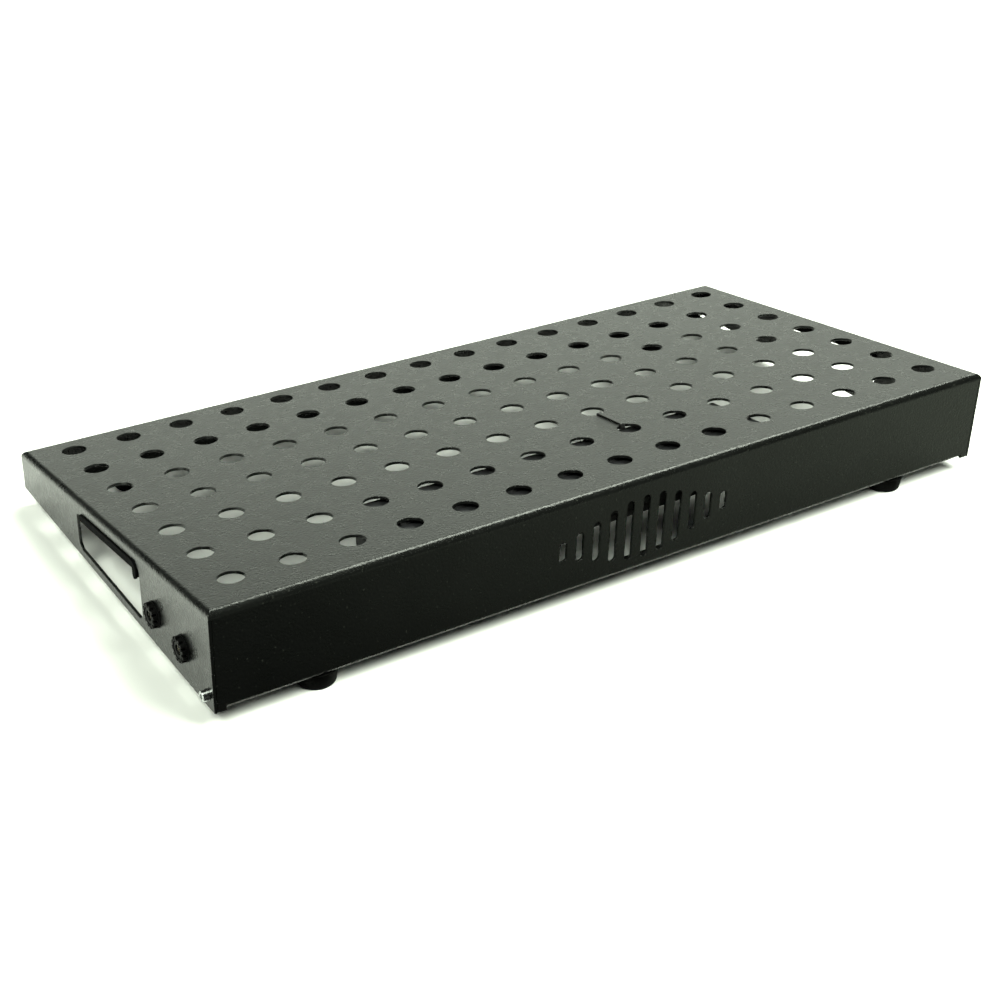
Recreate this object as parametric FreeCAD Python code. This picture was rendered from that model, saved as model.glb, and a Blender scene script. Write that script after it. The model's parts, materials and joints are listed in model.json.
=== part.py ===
import FreeCAD, Part
import math
import os

# A wedge-shaped pedalboard, folded from sheet steel, with everything that is mounted in it.
# Millimetres, +Z up. X runs along the two long walls, the tall wall is at -Y and the low wall
# at +Y. The feet stand on Z = 0, and the origin is under the middle of the whole object.

V = FreeCAD.Vector
UP = V(0, 0, 1)
INWARD = V(1, 0, 0)
OUTWARD = V(-1, 0, 0)

# ---- driving dimensions of the folded chassis ----
LENGTH = 610.0
DEPTH = 308.0
TALL_WALL_HEIGHT = 67.4
LOW_WALL_HEIGHT = 28.4
SHEET = 2.0
BEND_RADIUS = 4.5
SEAM = 0.15
FLANGE_DEPTH = 15.0
FLANGE_END_GAP = 8.0

# ---- deck holes: measured down the slope from the tall wall's face ----
HOLE_COLUMNS = 15
HOLE_ROWS = 7
HOLE_DIAMETER = 16.5
COLUMN_PITCH = 39.7
ROW_PITCH = 42.2
FIRST_COLUMN = 30.3
FIRST_ROW = 35.0

# ---- rubber feet ----
FOOT_HEIGHT = 11.0
FOOT_TOP_RADIUS = 13.6
FOOT_BOTTOM_RADIUS = 12.0
FOOT_EDGE_ROUND = 1.8
FOOT_FROM_END = 72.0
FOOT_FROM_WALL = 14.2
FOOT_TAB_WIDTH = 36.0
FOOT_TAB_DEPTH = 29.0
RECESS_RADIUS = 5.2
RECESS_DEPTH = 6.0

# ---- handle slots in the two side walls, measured from the tall wall's face ----
SLOT_NEAR = 100.0
SLOT_FAR = 203.0
SLOT_SILL = 6.0
SLOT_UNDER_DECK = 10.1
SLOT_LOW_ROUND = 6.0
SLOT_HIGH_ROUND = 4.0

# ---- rubber channel on each slot's top edge; its end near the tall wall hangs free ----
TRIM_GRIP = 2.6
TRIM_LIP = 3.4
TRIM_SIDE = 1.3
TRIM_FREE_GAP = 2.4
TRIM_TAIL = 34.2
TRIM_FAR_GAP = 8.0
TRIM_FAR_ROUND = 3.5
TRIM_CORNER_ROUND = 5.5
TRIM_INNER_ROUND = 1.0
TRIM_TAIL_ROUND = 2.7

# ---- cut-out in the tall wall: a row of upright rounded slots ----
BAR_COUNT = 11
BAR_PITCH = 13.0
BAR_WIDTH = 5.5
BAR_TALLEST = 46.0
BAR_SHORTEST_SHARE = 0.25
BAR_CENTRE_HEIGHT = 31.5

# ---- jack sockets in the left wall ----
JACK_FROM_TALL_WALL = {"input": 79.0, "output": 37.6}
JACK_HEIGHT = 23.2
PLUG_RADIUS = 3.25
LINER_RADIUS = 4.3
BUSH_RADIUS = 5.6
BUSH_HOLE_RADIUS = 5.8
BUSH_PROUD = 4.0
BUSH_LIP = 1.2
NUT_RADIUS = 8.2
NUT_PROUD = 4.4
NUT_NOTCHES = 12
NUT_NOTCH_WIDTH = 2.0
NUT_NOTCH_DEPTH = 2.6
WASHER_THICKNESS = 0.8
HOUSING_LENGTH = 24.0
HOUSING_WIDTH = 16.0
HOUSING_HEIGHT = 17.0
HOUSING_WALL = 1.5
HOUSING_FRONT = 4.0
CAP_THICKNESS = 2.0
STRIP_WIDTH = 3.0
STRIP_THICKNESS = 0.5

# ---- tip contact of each jack, a leaf that pivots in its slot in the rear cap ----
LEAF_WIDTH = 4.0
LEAF_THICKNESS = 0.4
LEAF_HEIGHT = 4.2
LEAF_REACH = 12.0
LEAF_TAIL = 6.0
LEAF_DIP = 1.9
LEAF_DIP_FROM_END = 4.0
LEAF_PLAY = 0.35

# ---- M4 fasteners ----
M4_RADIUS = 2.0
M4_HOLE_RADIUS = 2.25
M4_NUT_FLATS = 7.0
M4_NUT_HEIGHT = 3.2
SCREW_HEAD_RADIUS = 4.0
SCREW_HEAD_HEIGHT = 2.6
SCREW_HEAD_ROUND = 1.2
SCREW_RECESS_FLATS = 2.5
SCREW_RECESS_DEPTH = 1.4
FOOT_SCREW_LENGTH = 12.0
FOOT_WASHER_RADIUS = 4.8
FOOT_WASHER_HEIGHT = 1.0
CORNER_SCREW_LENGTH = 10.0
CORNER_HEAD_RADIUS = 3.5
CORNER_HEAD_HEIGHT = 4.4
CORNER_SCREW_FROM_FACE = 6.8
CORNER_SCREW_HEIGHT = 9.6
CORNER_TAB_DEPTH = 16.0
CORNER_TAB_BOTTOM = 4.0
CORNER_TAB_TOP = 20.0

# ---- power supply under the deck, in deck coordinates (X, down the slope, off the deck) ----
SUPPLY_FROM_LEFT = 140.0
SUPPLY_LENGTH = 292.0
SUPPLY_FROM_TALL_WALL = 27.0
SUPPLY_WIDTH = 64.0
SUPPLY_HEIGHT = 33.5
SUPPLY_WALL = 1.8
SUPPLY_END = 2.0
SUPPLY_EDGE_ROUND = 2.5
TAPE_THICKNESS = 1.5
TAPE_WIDTH = 24.0
TAPE_END_MARGIN = 8.0
BOSS_RADIUS = 3.0
BOSS_IN_WALL = 0.6
BOARD_THICKNESS = 1.6
BOARD_CLEAR_BELOW = 7.0
BOARD_SIDE_GAP = 0.2
BOARD_END_GAP = 6.0
BOARD_INLET_GAP = 18.0
LEDGE_THICKNESS = 1.5
LEDGE_DEPTH = 1.5
CONVERTER_SIZE = 20.0
CONVERTER_HEIGHT = 10.0
CONVERTER_FROM_SIDE = 6.0
CAPACITOR_RADIUS = 4.0
CAPACITOR_HEIGHT = 12.0
CAPACITOR_FROM_SIDE = 34.0
OUTLET_COUNT = 8
OUTLET_PITCH = 30.0
OUTLET_FLANGE = 5.6
OUTLET_NECK = 4.2
OUTLET_BORE = 2.9
OUTLET_PIN = 1.05
OUTLET_PROUD = 1.2
OUTLET_DEPTH = 13.0
OUTLET_FLOOR = 1.5
OUTLET_SHOULDER = 0.8
OUTLET_PIN_SETBACK = 1.0
OUTLET_PIN_ROUND = 0.4
LAMP_RADIUS = 1.55
LAMP_LENGTH = 6.0
LAMP_FROM_END = 20.0
M3_RADIUS = 1.3
M3_HOLE_RADIUS = 1.7
M3_HEAD_RADIUS = 2.7
M3_HEAD_HEIGHT = 1.8
M3_RECESS_FLATS = 2.0
M3_RECESS_DEPTH = 1.0
M3_LENGTH = 8.0

# ---- cable tie looped through two neighbouring deck holes ----
TIE_COLUMN = 8
TIE_ROWS = (1, 2)
TIE_WIDTH = 3.6
TIE_THICKNESS = 1.2
TIE_SLACK = 0.15
TIE_OUTER_ROUND = 1.5
TIE_INNER_ROUND = 0.4
TIE_HEAD_WIDTH = 5.8
TIE_HEAD_LENGTH = 4.8
TIE_HEAD_HEIGHT = 5.0
TIE_HEAD_FROM_HOLE = 6.5
TIE_STUB = 4.0

# ---- small gaps between pieces that fit together ----
SLIDE_GAP = 0.02
THREAD_GAP = 0.03
SNAP_GAP = 0.05

# ---- values that follow from the driving dimensions ----
TILT = math.atan2(TALL_WALL_HEIGHT - LOW_WALL_HEIGHT, DEPTH)
SLOPE_LENGTH = DEPTH / math.cos(TILT)
LEFT = -LENGTH / 2
RIGHT = LENGTH / 2
TALL_FACE = -DEPTH / 2
LOW_FACE = DEPTH / 2
BASE = FOOT_HEIGHT
DECK_TOP = BASE + TALL_WALL_HEIGHT
LOW_TOP = BASE + LOW_WALL_HEIGHT
TALL_TANGENT = BEND_RADIUS * math.tan((math.pi / 2 + TILT) / 2)
LOW_TANGENT = BEND_RADIUS * math.tan((math.pi / 2 - TILT) / 2)
SUPPLY_TOP = -SHEET - 2 * TAPE_THICKNESS
BOARD_UNDERSIDE = SUPPLY_TOP - SUPPLY_HEIGHT + SUPPLY_WALL + BOARD_CLEAR_BELOW


def box(low, high):
    size = V(*high) - V(*low)
    return Part.makeBox(size.x, size.y, size.z, V(*low))


def rod(radius, length, base, direction):
    return Part.makeCylinder(radius, length, base, direction)


def tube(outer, inner, length, base, direction):
    return rod(outer, length, base, direction).cut(rod(inner, length, base, direction))


def hexagon(flats, height, base, direction):
    radius = flats / math.sqrt(3)
    corners = [V(radius * math.cos(math.radians(60 * k)), radius * math.sin(math.radians(60 * k)), 0)
               for k in range(7)]
    prism = Part.Face(Part.makePolygon(corners)).extrude(V(0, 0, height))
    prism.Placement = FreeCAD.Placement(base, FreeCAD.Rotation(UP, direction))
    return prism


def on_deck(shape):
    """Move a shape from deck coordinates (X, down the slope, off the deck) to its place."""
    shape.Placement = FreeCAD.Placement(V(0, TALL_FACE, DECK_TOP),
                                        FreeCAD.Rotation(V(1, 0, 0), -math.degrees(TILT)))
    return shape


def deck_height(y, below):
    """Height of the plane that lies a given distance below the deck's top face, at one Y."""
    return DECK_TOP - (y - TALL_FACE) * math.tan(TILT) - below / math.cos(TILT)


def hole_place(column, row):
    """A deck hole's centre, in deck coordinates."""
    return LEFT + FIRST_COLUMN + column * COLUMN_PITCH, FIRST_ROW + row * ROW_PITCH


def turn(before, corner, after):
    """Directions into and out of a corner, half its turn, and the direction to its inside."""
    arriving = (corner - before).normalize()
    leaving = (after - corner).normalize()
    return arriving, leaving, arriving.getAngle(leaving) / 2, (leaving - arriving).normalize()


def corner_arc(before, corner, after, radius):
    """The arc that rounds a corner, as its first point, its edge and its last point."""
    arriving, leaving, half_turn, inside = turn(before, corner, after)
    start = corner - arriving * radius * math.tan(half_turn)
    end = corner + leaving * radius * math.tan(half_turn)
    middle = corner + inside * radius * (1 / math.cos(half_turn) - 1)
    return start, Part.Arc(start, middle, end).toShape(), end


def straight(start, end):
    """One straight edge, or none where the two points meet."""
    return [Part.LineSegment(start, end).toShape()] if (end - start).Length > 1e-6 else []


def rounded_run(points, radius):
    """Edges along an open line of points, with each corner rounded."""
    edges = []
    here = points[0]
    for before, corner, after in zip(points, points[1:], points[2:]):
        start, arc, end = corner_arc(before, corner, after, radius)
        edges += straight(here, start) + [arc]
        here = end
    return edges + straight(here, points[-1])


def rounded_outline(points, radii):
    """A closed outline through the points, with each corner rounded to its own radius."""
    arcs = [corner_arc(points[k - 1], corner, points[(k + 1) % len(points)], radii[k])
            for k, corner in enumerate(points)]
    edges = []
    for k, (start, arc, end) in enumerate(arcs):
        edges += [arc] + straight(end, arcs[(k + 1) % len(arcs)][0])
    return Part.Wire(Part.__sortEdges__(edges))


def bent_strip(points, sweep):
    """Sheet whose outer face follows the points, turning the same way at each bend."""
    inner = []
    for before, corner, after in zip(points, points[1:], points[2:]):
        arriving, leaving, half_turn, inside = turn(before, corner, after)
        if not inner:
            inner.append(before + (inside - arriving * inside.dot(arriving)).normalize() * SHEET)
        inner.append(corner + inside * SHEET / math.cos(half_turn))
        last = after + (inside - leaving * inside.dot(leaving)).normalize() * SHEET
    inner.append(last)
    edges = rounded_run(points, BEND_RADIUS) + rounded_run(inner, BEND_RADIUS - SHEET)
    edges += straight(points[0], inner[0]) + straight(points[-1], inner[-1])
    return Part.Face(Part.Wire(Part.__sortEdges__(edges))).extrude(sweep)


# ---- chassis ----

def deck_panel():
    plate = box((LEFT + BEND_RADIUS, TALL_TANGENT, -SHEET),
                (RIGHT - BEND_RADIUS, SLOPE_LENGTH - LOW_TANGENT, 0))
    drills = []
    for column in range(HOLE_COLUMNS):
        for row in range(HOLE_ROWS):
            x, down = hole_place(column, row)
            drills.append(rod(HOLE_DIAMETER / 2, SHEET + 2, V(x, down, -SHEET - 1), UP))
    return on_deck(plate.cut(Part.makeCompound(drills)))


def foot_places():
    for x in (LEFT + FOOT_FROM_END, RIGHT - FOOT_FROM_END):
        for y in (TALL_FACE + FOOT_FROM_WALL, LOW_FACE - FOOT_FROM_WALL):
            yield x, y


def long_wall(face, top, inward):
    """The tall or the low wall: top bend, upright face, bottom flange and its two foot tabs."""
    tangent = TALL_TANGENT if inward > 0 else LOW_TANGENT
    slope = V(0, math.cos(TILT), -math.sin(TILT)) * inward
    left = V(LEFT + SHEET + SEAM, 0, 0)
    corner = left + V(0, face, top)
    points = [corner + slope * tangent, corner, left + V(0, face, BASE),
              left + V(0, face + inward * FLANGE_DEPTH, BASE)]
    width = LENGTH - 2 * (SHEET + SEAM)
    wall = bent_strip(points, V(width, 0, 0))
    ends = [(LEFT, LEFT + FLANGE_END_GAP), (RIGHT - FLANGE_END_GAP, RIGHT)]
    for low, high in ends:
        lows, highs = sorted((face, face + inward * (FLANGE_DEPTH + 1)))
        wall = wall.cut(box((low, lows, BASE - 1), (high, highs, BASE + BEND_RADIUS)))
        lows, highs = sorted((face, face + inward * SHEET))
        patch_low = max(low, LEFT + SHEET + SEAM)
        patch_high = min(high, RIGHT - SHEET - SEAM)
        wall = wall.fuse(box((patch_low, lows, BASE), (patch_high, highs, BASE + BEND_RADIUS)))
    for x, y in foot_places():
        if abs(y - face) > FOOT_FROM_WALL + 1:
            continue
        lows, highs = sorted((face + inward * (FLANGE_DEPTH - 1), face + inward * FOOT_TAB_DEPTH))
        half = FOOT_TAB_WIDTH / 2
        wall = wall.fuse(box((x - half, lows, BASE), (x + half, highs, BASE + SHEET)))
    for x, y in foot_places():
        wall = wall.cut(rod(M4_HOLE_RADIUS, SHEET + 2, V(x, y, BASE - 1), UP))
    return wall.removeSplitter()


def bar_slots():
    """The row of upright rounded slots, tallest in the middle."""
    slots = []
    middle = (BAR_COUNT - 1) / 2
    for k in range(BAR_COUNT):
        swell = math.cos(math.pi / 2 * (k - middle) / (middle + 1)) ** 2
        height = BAR_TALLEST * (BAR_SHORTEST_SHARE + (1 - BAR_SHORTEST_SHARE) * swell)
        x = (k - middle) * BAR_PITCH
        z = BASE + BAR_CENTRE_HEIGHT
        half = BAR_WIDTH / 2
        reach = height / 2 - half
        front = TALL_FACE - 1
        through = V(0, SHEET + 2, 0)
        slots.append(box((x - half, front, z - reach), (x + half, front + through.y, z + reach)))
        for side in (-reach, reach):
            slots.append(rod(half, through.y, V(x, front, z + side), V(0, 1, 0)))
    return slots


def corner_tab(inner_face, away):
    """Tab at an end of the tall wall, turned back along the side wall that is screwed to it."""
    thin, thick = sorted((inner_face, inner_face + away * SHEET))
    return box((thin, TALL_FACE + SHEET / 2, BASE + CORNER_TAB_BOTTOM),
               (thick, TALL_FACE + CORNER_TAB_DEPTH, BASE + CORNER_TAB_TOP))


def tall_wall():
    wall = long_wall(TALL_FACE, DECK_TOP, 1)
    for slot in bar_slots():
        wall = wall.cut(slot)
    wall = wall.fuse(corner_tab(LEFT + SHEET + SEAM, 1))
    wall = wall.fuse(corner_tab(RIGHT - SHEET - SEAM, -1))
    return wall.cut(corner_screw_drill()).removeSplitter()


def low_wall():
    return long_wall(LOW_FACE, LOW_TOP, -1)


def corner_screw_axis():
    return TALL_FACE + CORNER_SCREW_FROM_FACE, BASE + CORNER_SCREW_HEIGHT


def corner_screw_drill():
    y, z = corner_screw_axis()
    return rod(M4_HOLE_RADIUS, LENGTH + 20, V(LEFT - 10, y, z), INWARD)


def slot_points(x):
    near = TALL_FACE + SLOT_NEAR
    far = TALL_FACE + SLOT_FAR
    sill = BASE + SLOT_SILL
    return [V(x, near, sill), V(x, far, sill), V(x, far, deck_height(far, SLOT_UNDER_DECK)),
            V(x, near, deck_height(near, SLOT_UNDER_DECK))]


def slot_outline(x):
    radii = [SLOT_LOW_ROUND, SLOT_LOW_ROUND, SLOT_HIGH_ROUND, SLOT_HIGH_ROUND]
    return rounded_outline(slot_points(x), radii)


def under_bend(low, corner, edge, sweep):
    """Solid under one rounded bend, between the ends of its two faces."""
    under = V(edge.x, edge.y, low.z)
    lines = rounded_run([low, corner, edge], BEND_RADIUS) + straight(edge, under) + straight(under, low)
    return Part.Face(Part.Wire(Part.__sortEdges__(lines))).extrude(sweep)


def corner_fill(outer, inward, face, top, away):
    """Weld that closes a corner of the deck, ground to both of the bends that meet there."""
    tangent = TALL_TANGENT if away > 0 else LOW_TANGENT
    down = UP * -2 * BEND_RADIUS
    corner = V(outer, face, top)
    slope = V(0, math.cos(TILT), -math.sin(TILT)) * away
    end_shape = under_bend(corner + down, corner, corner + slope * (tangent + SEAM), V(inward * SHEET, 0, 0))
    margin = BEND_RADIUS / 2
    corner = V(outer, -margin if away > 0 else SLOPE_LENGTH - tangent - SEAM - margin, 0)
    across = V(inward * (BEND_RADIUS + 1), 0, 0)
    side_shape = under_bend(corner + down, corner, corner + across, V(0, tangent + SEAM + 2 * margin, 0))
    return end_shape.common(on_deck(side_shape))


def side_wall(outer, inward):
    """A side wall: top bend along the sloping deck, upright face and handle slot."""
    deep = 2 * DECK_TOP
    begin = TALL_TANGENT + SEAM
    points = [V(outer + inward * BEND_RADIUS, begin, 0), V(outer, begin, 0), V(outer, begin, -deep)]
    run = SLOPE_LENGTH - LOW_TANGENT - SEAM - begin
    bend = on_deck(bent_strip(points, V(0, run, 0)))
    low, high = sorted((outer, outer + inward * (BEND_RADIUS + 1)))
    keep = box((low, TALL_FACE + TALL_TANGENT / 2, BASE), (high, LOW_FACE - LOW_TANGENT / 2, DECK_TOP + 1))
    wall = bend.common(keep)
    ends = [V(outer, TALL_FACE, BASE), V(outer, LOW_FACE, BASE),
            V(outer, LOW_FACE, deck_height(LOW_FACE, BEND_RADIUS)),
            V(outer, TALL_FACE, deck_height(TALL_FACE, BEND_RADIUS))]
    plate = Part.Face(Part.makePolygon(ends + ends[:1])).extrude(V(inward * SHEET, 0, 0))
    slot = Part.Face(slot_outline(outer - inward)).extrude(V(inward * (SHEET + 2), 0, 0))
    wall = wall.fuse(plate).cut(slot).cut(corner_screw_drill())
    wall = wall.fuse(corner_fill(outer, inward, TALL_FACE, DECK_TOP, 1))
    wall = wall.fuse(corner_fill(outer, inward, LOW_FACE, LOW_TOP, -1))
    return wall.removeSplitter()


def left_wall():
    wall = side_wall(LEFT, 1)
    for y, z in jack_places().values():
        wall = wall.cut(rod(BUSH_HOLE_RADIUS, SHEET + 2, V(LEFT - 1, y, z), INWARD))
    return wall


def right_wall():
    return side_wall(RIGHT, -1)


def trim_outline(x):
    """The channel seen from the side: along the slot's top edge, then down its free tail."""
    near = TALL_FACE + SLOT_NEAR + TRIM_FREE_GAP
    far = TALL_FACE + SLOT_FAR - TRIM_FAR_GAP
    width = TRIM_GRIP + TRIM_LIP
    tail = BASE + TRIM_TAIL
    above = SLOT_UNDER_DECK - TRIM_GRIP
    below = SLOT_UNDER_DECK + TRIM_LIP
    points = [V(x, far, deck_height(far, above)), V(x, near, deck_height(near, above)),
              V(x, near, tail), V(x, near + width, tail),
              V(x, near + width, deck_height(near + width, below)), V(x, far, deck_height(far, below))]
    radii = [TRIM_FAR_ROUND, TRIM_CORNER_ROUND, TRIM_TAIL_ROUND, TRIM_TAIL_ROUND,
             TRIM_INNER_ROUND, TRIM_INNER_ROUND]
    return rounded_outline(points, radii)


def trim_groove(x):
    """Outline of the channel's groove, which is open to the outside of its bend."""
    near = TALL_FACE + SLOT_NEAR + TRIM_FREE_GAP
    beyond = TALL_FACE + SLOT_FAR + 1
    left = near - 1
    points = [V(x, beyond, deck_height(beyond, 0)), V(x, left, deck_height(left, 0)), V(x, left, BASE),
              V(x, near + TRIM_GRIP, BASE),
              V(x, near + TRIM_GRIP, deck_height(near + TRIM_GRIP, SLOT_UNDER_DECK)),
              V(x, beyond, deck_height(beyond, SLOT_UNDER_DECK))]
    return Part.makePolygon(points + points[:1])


def handle_trim(outer, inward):
    """Rubber channel pushed over the slot's top edge, with its near end hanging in the slot."""
    thickness = V(inward * (SHEET + 2 * TRIM_SIDE), 0, 0)
    channel = Part.Face(trim_outline(outer - inward * TRIM_SIDE)).extrude(thickness)
    groove = Part.Face(trim_groove(outer)).extrude(V(inward * SHEET, 0, 0))
    return channel.cut(groove)


# ---- feet and fasteners ----

def foot(x, y):
    profile = [V(0, 0, 0), V(FOOT_BOTTOM_RADIUS, 0, 0), V(FOOT_TOP_RADIUS, 0, FOOT_HEIGHT),
               V(0, 0, FOOT_HEIGHT)]
    start, arc, end = corner_arc(profile[0], profile[1], profile[2], FOOT_EDGE_ROUND)
    edges = [Part.LineSegment(profile[0], start).toShape(), arc,
             Part.LineSegment(end, profile[2]).toShape(),
             Part.LineSegment(profile[2], profile[3]).toShape(),
             Part.LineSegment(profile[3], profile[0]).toShape()]
    body = Part.Face(Part.Wire(Part.__sortEdges__(edges))).revolve(V(0, 0, 0), UP, 360)
    body = body.cut(rod(RECESS_RADIUS, RECESS_DEPTH, V(0, 0, 0), UP))
    body = body.cut(rod(M4_HOLE_RADIUS, FOOT_HEIGHT, V(0, 0, 0), UP))
    body.translate(V(x, y, 0))
    return body


def socket_screw(length, head_radius, head_height, base, direction):
    """Socket-head screw: base is the centre of the head's bearing face, direction is the shank's."""
    top = base - direction * head_height
    head = rod(head_radius, head_height, top, direction)
    rim = [edge for edge in head.Edges if (edge.CenterOfMass - top).Length < 0.01]
    head = head.makeFillet(SCREW_HEAD_ROUND, rim[:1])
    recess = hexagon(SCREW_RECESS_FLATS, SCREW_RECESS_DEPTH, top, direction)
    return head.fuse(rod(M4_RADIUS, length, base, direction)).cut(recess).removeSplitter()


def hex_nut(base, direction):
    return hexagon(M4_NUT_FLATS, M4_NUT_HEIGHT, base, direction).cut(
        rod(M4_RADIUS + THREAD_GAP, M4_NUT_HEIGHT, base, direction))


def foot_fasteners():
    washers, screws, nuts = [], [], []
    seat = RECESS_DEPTH - FOOT_WASHER_HEIGHT
    for x, y in foot_places():
        washers.append(tube(FOOT_WASHER_RADIUS, M4_HOLE_RADIUS, FOOT_WASHER_HEIGHT, V(x, y, seat), UP))
        screws.append(socket_screw(FOOT_SCREW_LENGTH, SCREW_HEAD_RADIUS, SCREW_HEAD_HEIGHT,
                                   V(x, y, seat), UP))
        nuts.append(hex_nut(V(x, y, BASE + SHEET), UP))
    return washers, screws, nuts


def corner_fasteners():
    y, z = corner_screw_axis()
    screws, nuts = [], []
    for face, inward in ((LEFT, INWARD), (RIGHT, OUTWARD)):
        screws.append(socket_screw(CORNER_SCREW_LENGTH, CORNER_HEAD_RADIUS, CORNER_HEAD_HEIGHT,
                                   V(face, y, z), inward))
        nuts.append(hex_nut(V(face, y, z) + inward * (2 * SHEET + SEAM), inward))
    return screws, nuts


# ---- jack sockets ----

def jack_places():
    return {name: (TALL_FACE + back, BASE + JACK_HEIGHT)
            for name, back in JACK_FROM_TALL_WALL.items()}


def jack_body(y, z):
    """Moulded housing with a threaded bush through the wall, open at the rear."""
    front = LEFT + SHEET
    rear = front + HOUSING_LENGTH
    half_y, half_z = HOUSING_WIDTH / 2, HOUSING_HEIGHT / 2
    body = box((front, y - half_y, z - half_z), (rear, y + half_y, z + half_z))
    hollow = box((front + HOUSING_FRONT, y - half_y + HOUSING_WALL, z - half_z + HOUSING_WALL),
                 (rear + 1, y + half_y - HOUSING_WALL, z + half_z - HOUSING_WALL))
    bush = rod(BUSH_RADIUS, BUSH_PROUD + SHEET, V(LEFT - BUSH_PROUD, y, z), INWARD)
    mouth = LEFT - BUSH_PROUD
    entry = rod(PLUG_RADIUS, BUSH_LIP + 2, V(mouth - 1, y, z), INWARD)
    behind_lip = mouth + BUSH_LIP
    passage = rod(LINER_RADIUS, front + HOUSING_FRONT + 1 - behind_lip, V(behind_lip, y, z), INWARD)
    return body.fuse(bush).cut(hollow).cut(entry).cut(passage).removeSplitter()


def jack_cap(y, z):
    """Rear cap of the housing, slotted for the two contacts."""
    rear = LEFT + SHEET + HOUSING_LENGTH
    half_y, half_z = HOUSING_WIDTH / 2, HOUSING_HEIGHT / 2
    cap = box((rear, y - half_y, z - half_z), (rear + CAP_THICKNESS, y + half_y, z + half_z))
    leaf = box((rear - 1, y - LEAF_WIDTH / 2 - LEAF_PLAY, z + LEAF_HEIGHT - LEAF_PLAY),
               (rear + CAP_THICKNESS + 1, y + LEAF_WIDTH / 2 + LEAF_PLAY,
                z + LEAF_HEIGHT + LEAF_THICKNESS + LEAF_PLAY))
    return cap.cut(leaf).cut(sleeve_strip(y, z))


def sleeve_strip(y, z):
    """Flat tail of the sleeve contact, along the floor of the housing to its solder lug."""
    half = STRIP_WIDTH / 2
    low = z - math.sqrt((LINER_RADIUS - SNAP_GAP) ** 2 - half ** 2)
    return box((LEFT + SHEET, y - half, low),
               (LEFT + SHEET + HOUSING_LENGTH + CAP_THICKNESS + LEAF_TAIL, y + half,
                low + STRIP_THICKNESS))


def jack_sleeve(y, z):
    """Metal liner behind the bush's plastic lip, and its tail to the solder lug."""
    start = LEFT - BUSH_PROUD + BUSH_LIP
    liner = tube(LINER_RADIUS - SLIDE_GAP, PLUG_RADIUS, LEFT + 2 * SHEET - start, V(start, y, z), INWARD)
    return liner.fuse(sleeve_strip(y, z)).removeSplitter()


def jack_nut(y, z):
    """Round plastic nut with a crown of notches round its outer end."""
    height = NUT_PROUD - WASHER_THICKNESS
    outer_end = V(LEFT - NUT_PROUD, y, z)
    nut = tube(NUT_RADIUS, BUSH_RADIUS + THREAD_GAP, height, outer_end, INWARD)
    half = NUT_NOTCH_WIDTH / 2
    for k in range(NUT_NOTCHES):
        notch = box((LEFT - NUT_PROUD - 1, y - half, z + BUSH_RADIUS + 0.5),
                    (LEFT - NUT_PROUD + NUT_NOTCH_DEPTH, y + half, z + NUT_RADIUS + 1))
        notch.rotate(outer_end, INWARD, k * 360 / NUT_NOTCHES)
        nut = nut.cut(notch)
    return nut


def jack_washer(y, z):
    return tube(NUT_RADIUS + 0.4, BUSH_RADIUS + 0.1, WASHER_THICKNESS,
                V(LEFT - WASHER_THICKNESS, y, z), INWARD)


def tip_spring_pivot(y, z):
    """Middle of the cap's slot, where the leaf bends."""
    return V(LEFT + SHEET + HOUSING_LENGTH + CAP_THICKNESS / 2, y, z + LEAF_HEIGHT + LEAF_THICKNESS / 2)


def tip_spring(y, z):
    """Leaf with a dip that rides on the plug's tip, and its tail as the solder lug."""
    pivot = tip_spring_pivot(y, z)
    low = pivot.z - LEAF_THICKNESS / 2
    dip_at = pivot.x - LEAF_REACH + LEAF_DIP_FROM_END
    line = [V(pivot.x + CAP_THICKNESS / 2 + LEAF_TAIL, 0, low), V(dip_at + 2.5, 0, low),
            V(dip_at + 0.6, 0, low - LEAF_DIP), V(dip_at - 0.6, 0, low - LEAF_DIP),
            V(dip_at - 2.5, 0, low), V(pivot.x - LEAF_REACH, 0, low)]
    back = [point + V(0, 0, LEAF_THICKNESS) for point in reversed(line)]
    outline = [point + V(0, y - LEAF_WIDTH / 2, 0) for point in line + back]
    return Part.Face(Part.makePolygon(outline + outline[:1])).extrude(V(0, LEAF_WIDTH, 0))


# ---- power supply ----

def supply_span():
    left = LEFT + SUPPLY_FROM_LEFT
    return left, left + SUPPLY_LENGTH


def supply_faces():
    """Near and far side down the slope, and the bottom, in deck coordinates."""
    near = SUPPLY_FROM_TALL_WALL
    return near, near + SUPPLY_WIDTH, SUPPLY_TOP - SUPPLY_HEIGHT


def outlet_places():
    left, right = supply_span()
    for k in range(OUTLET_COUNT):
        yield (left + right) / 2 + (k - (OUTLET_COUNT - 1) / 2) * OUTLET_PITCH


def outlet_height():
    return SUPPLY_TOP - SUPPLY_HEIGHT / 2


def boss_places():
    near, far, bottom = supply_faces()
    inset = SUPPLY_WALL + BOSS_RADIUS - BOSS_IN_WALL
    for down in (near + inset, far - inset):
        for height in (bottom + inset, SUPPLY_TOP - inset):
            yield down, height


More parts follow.
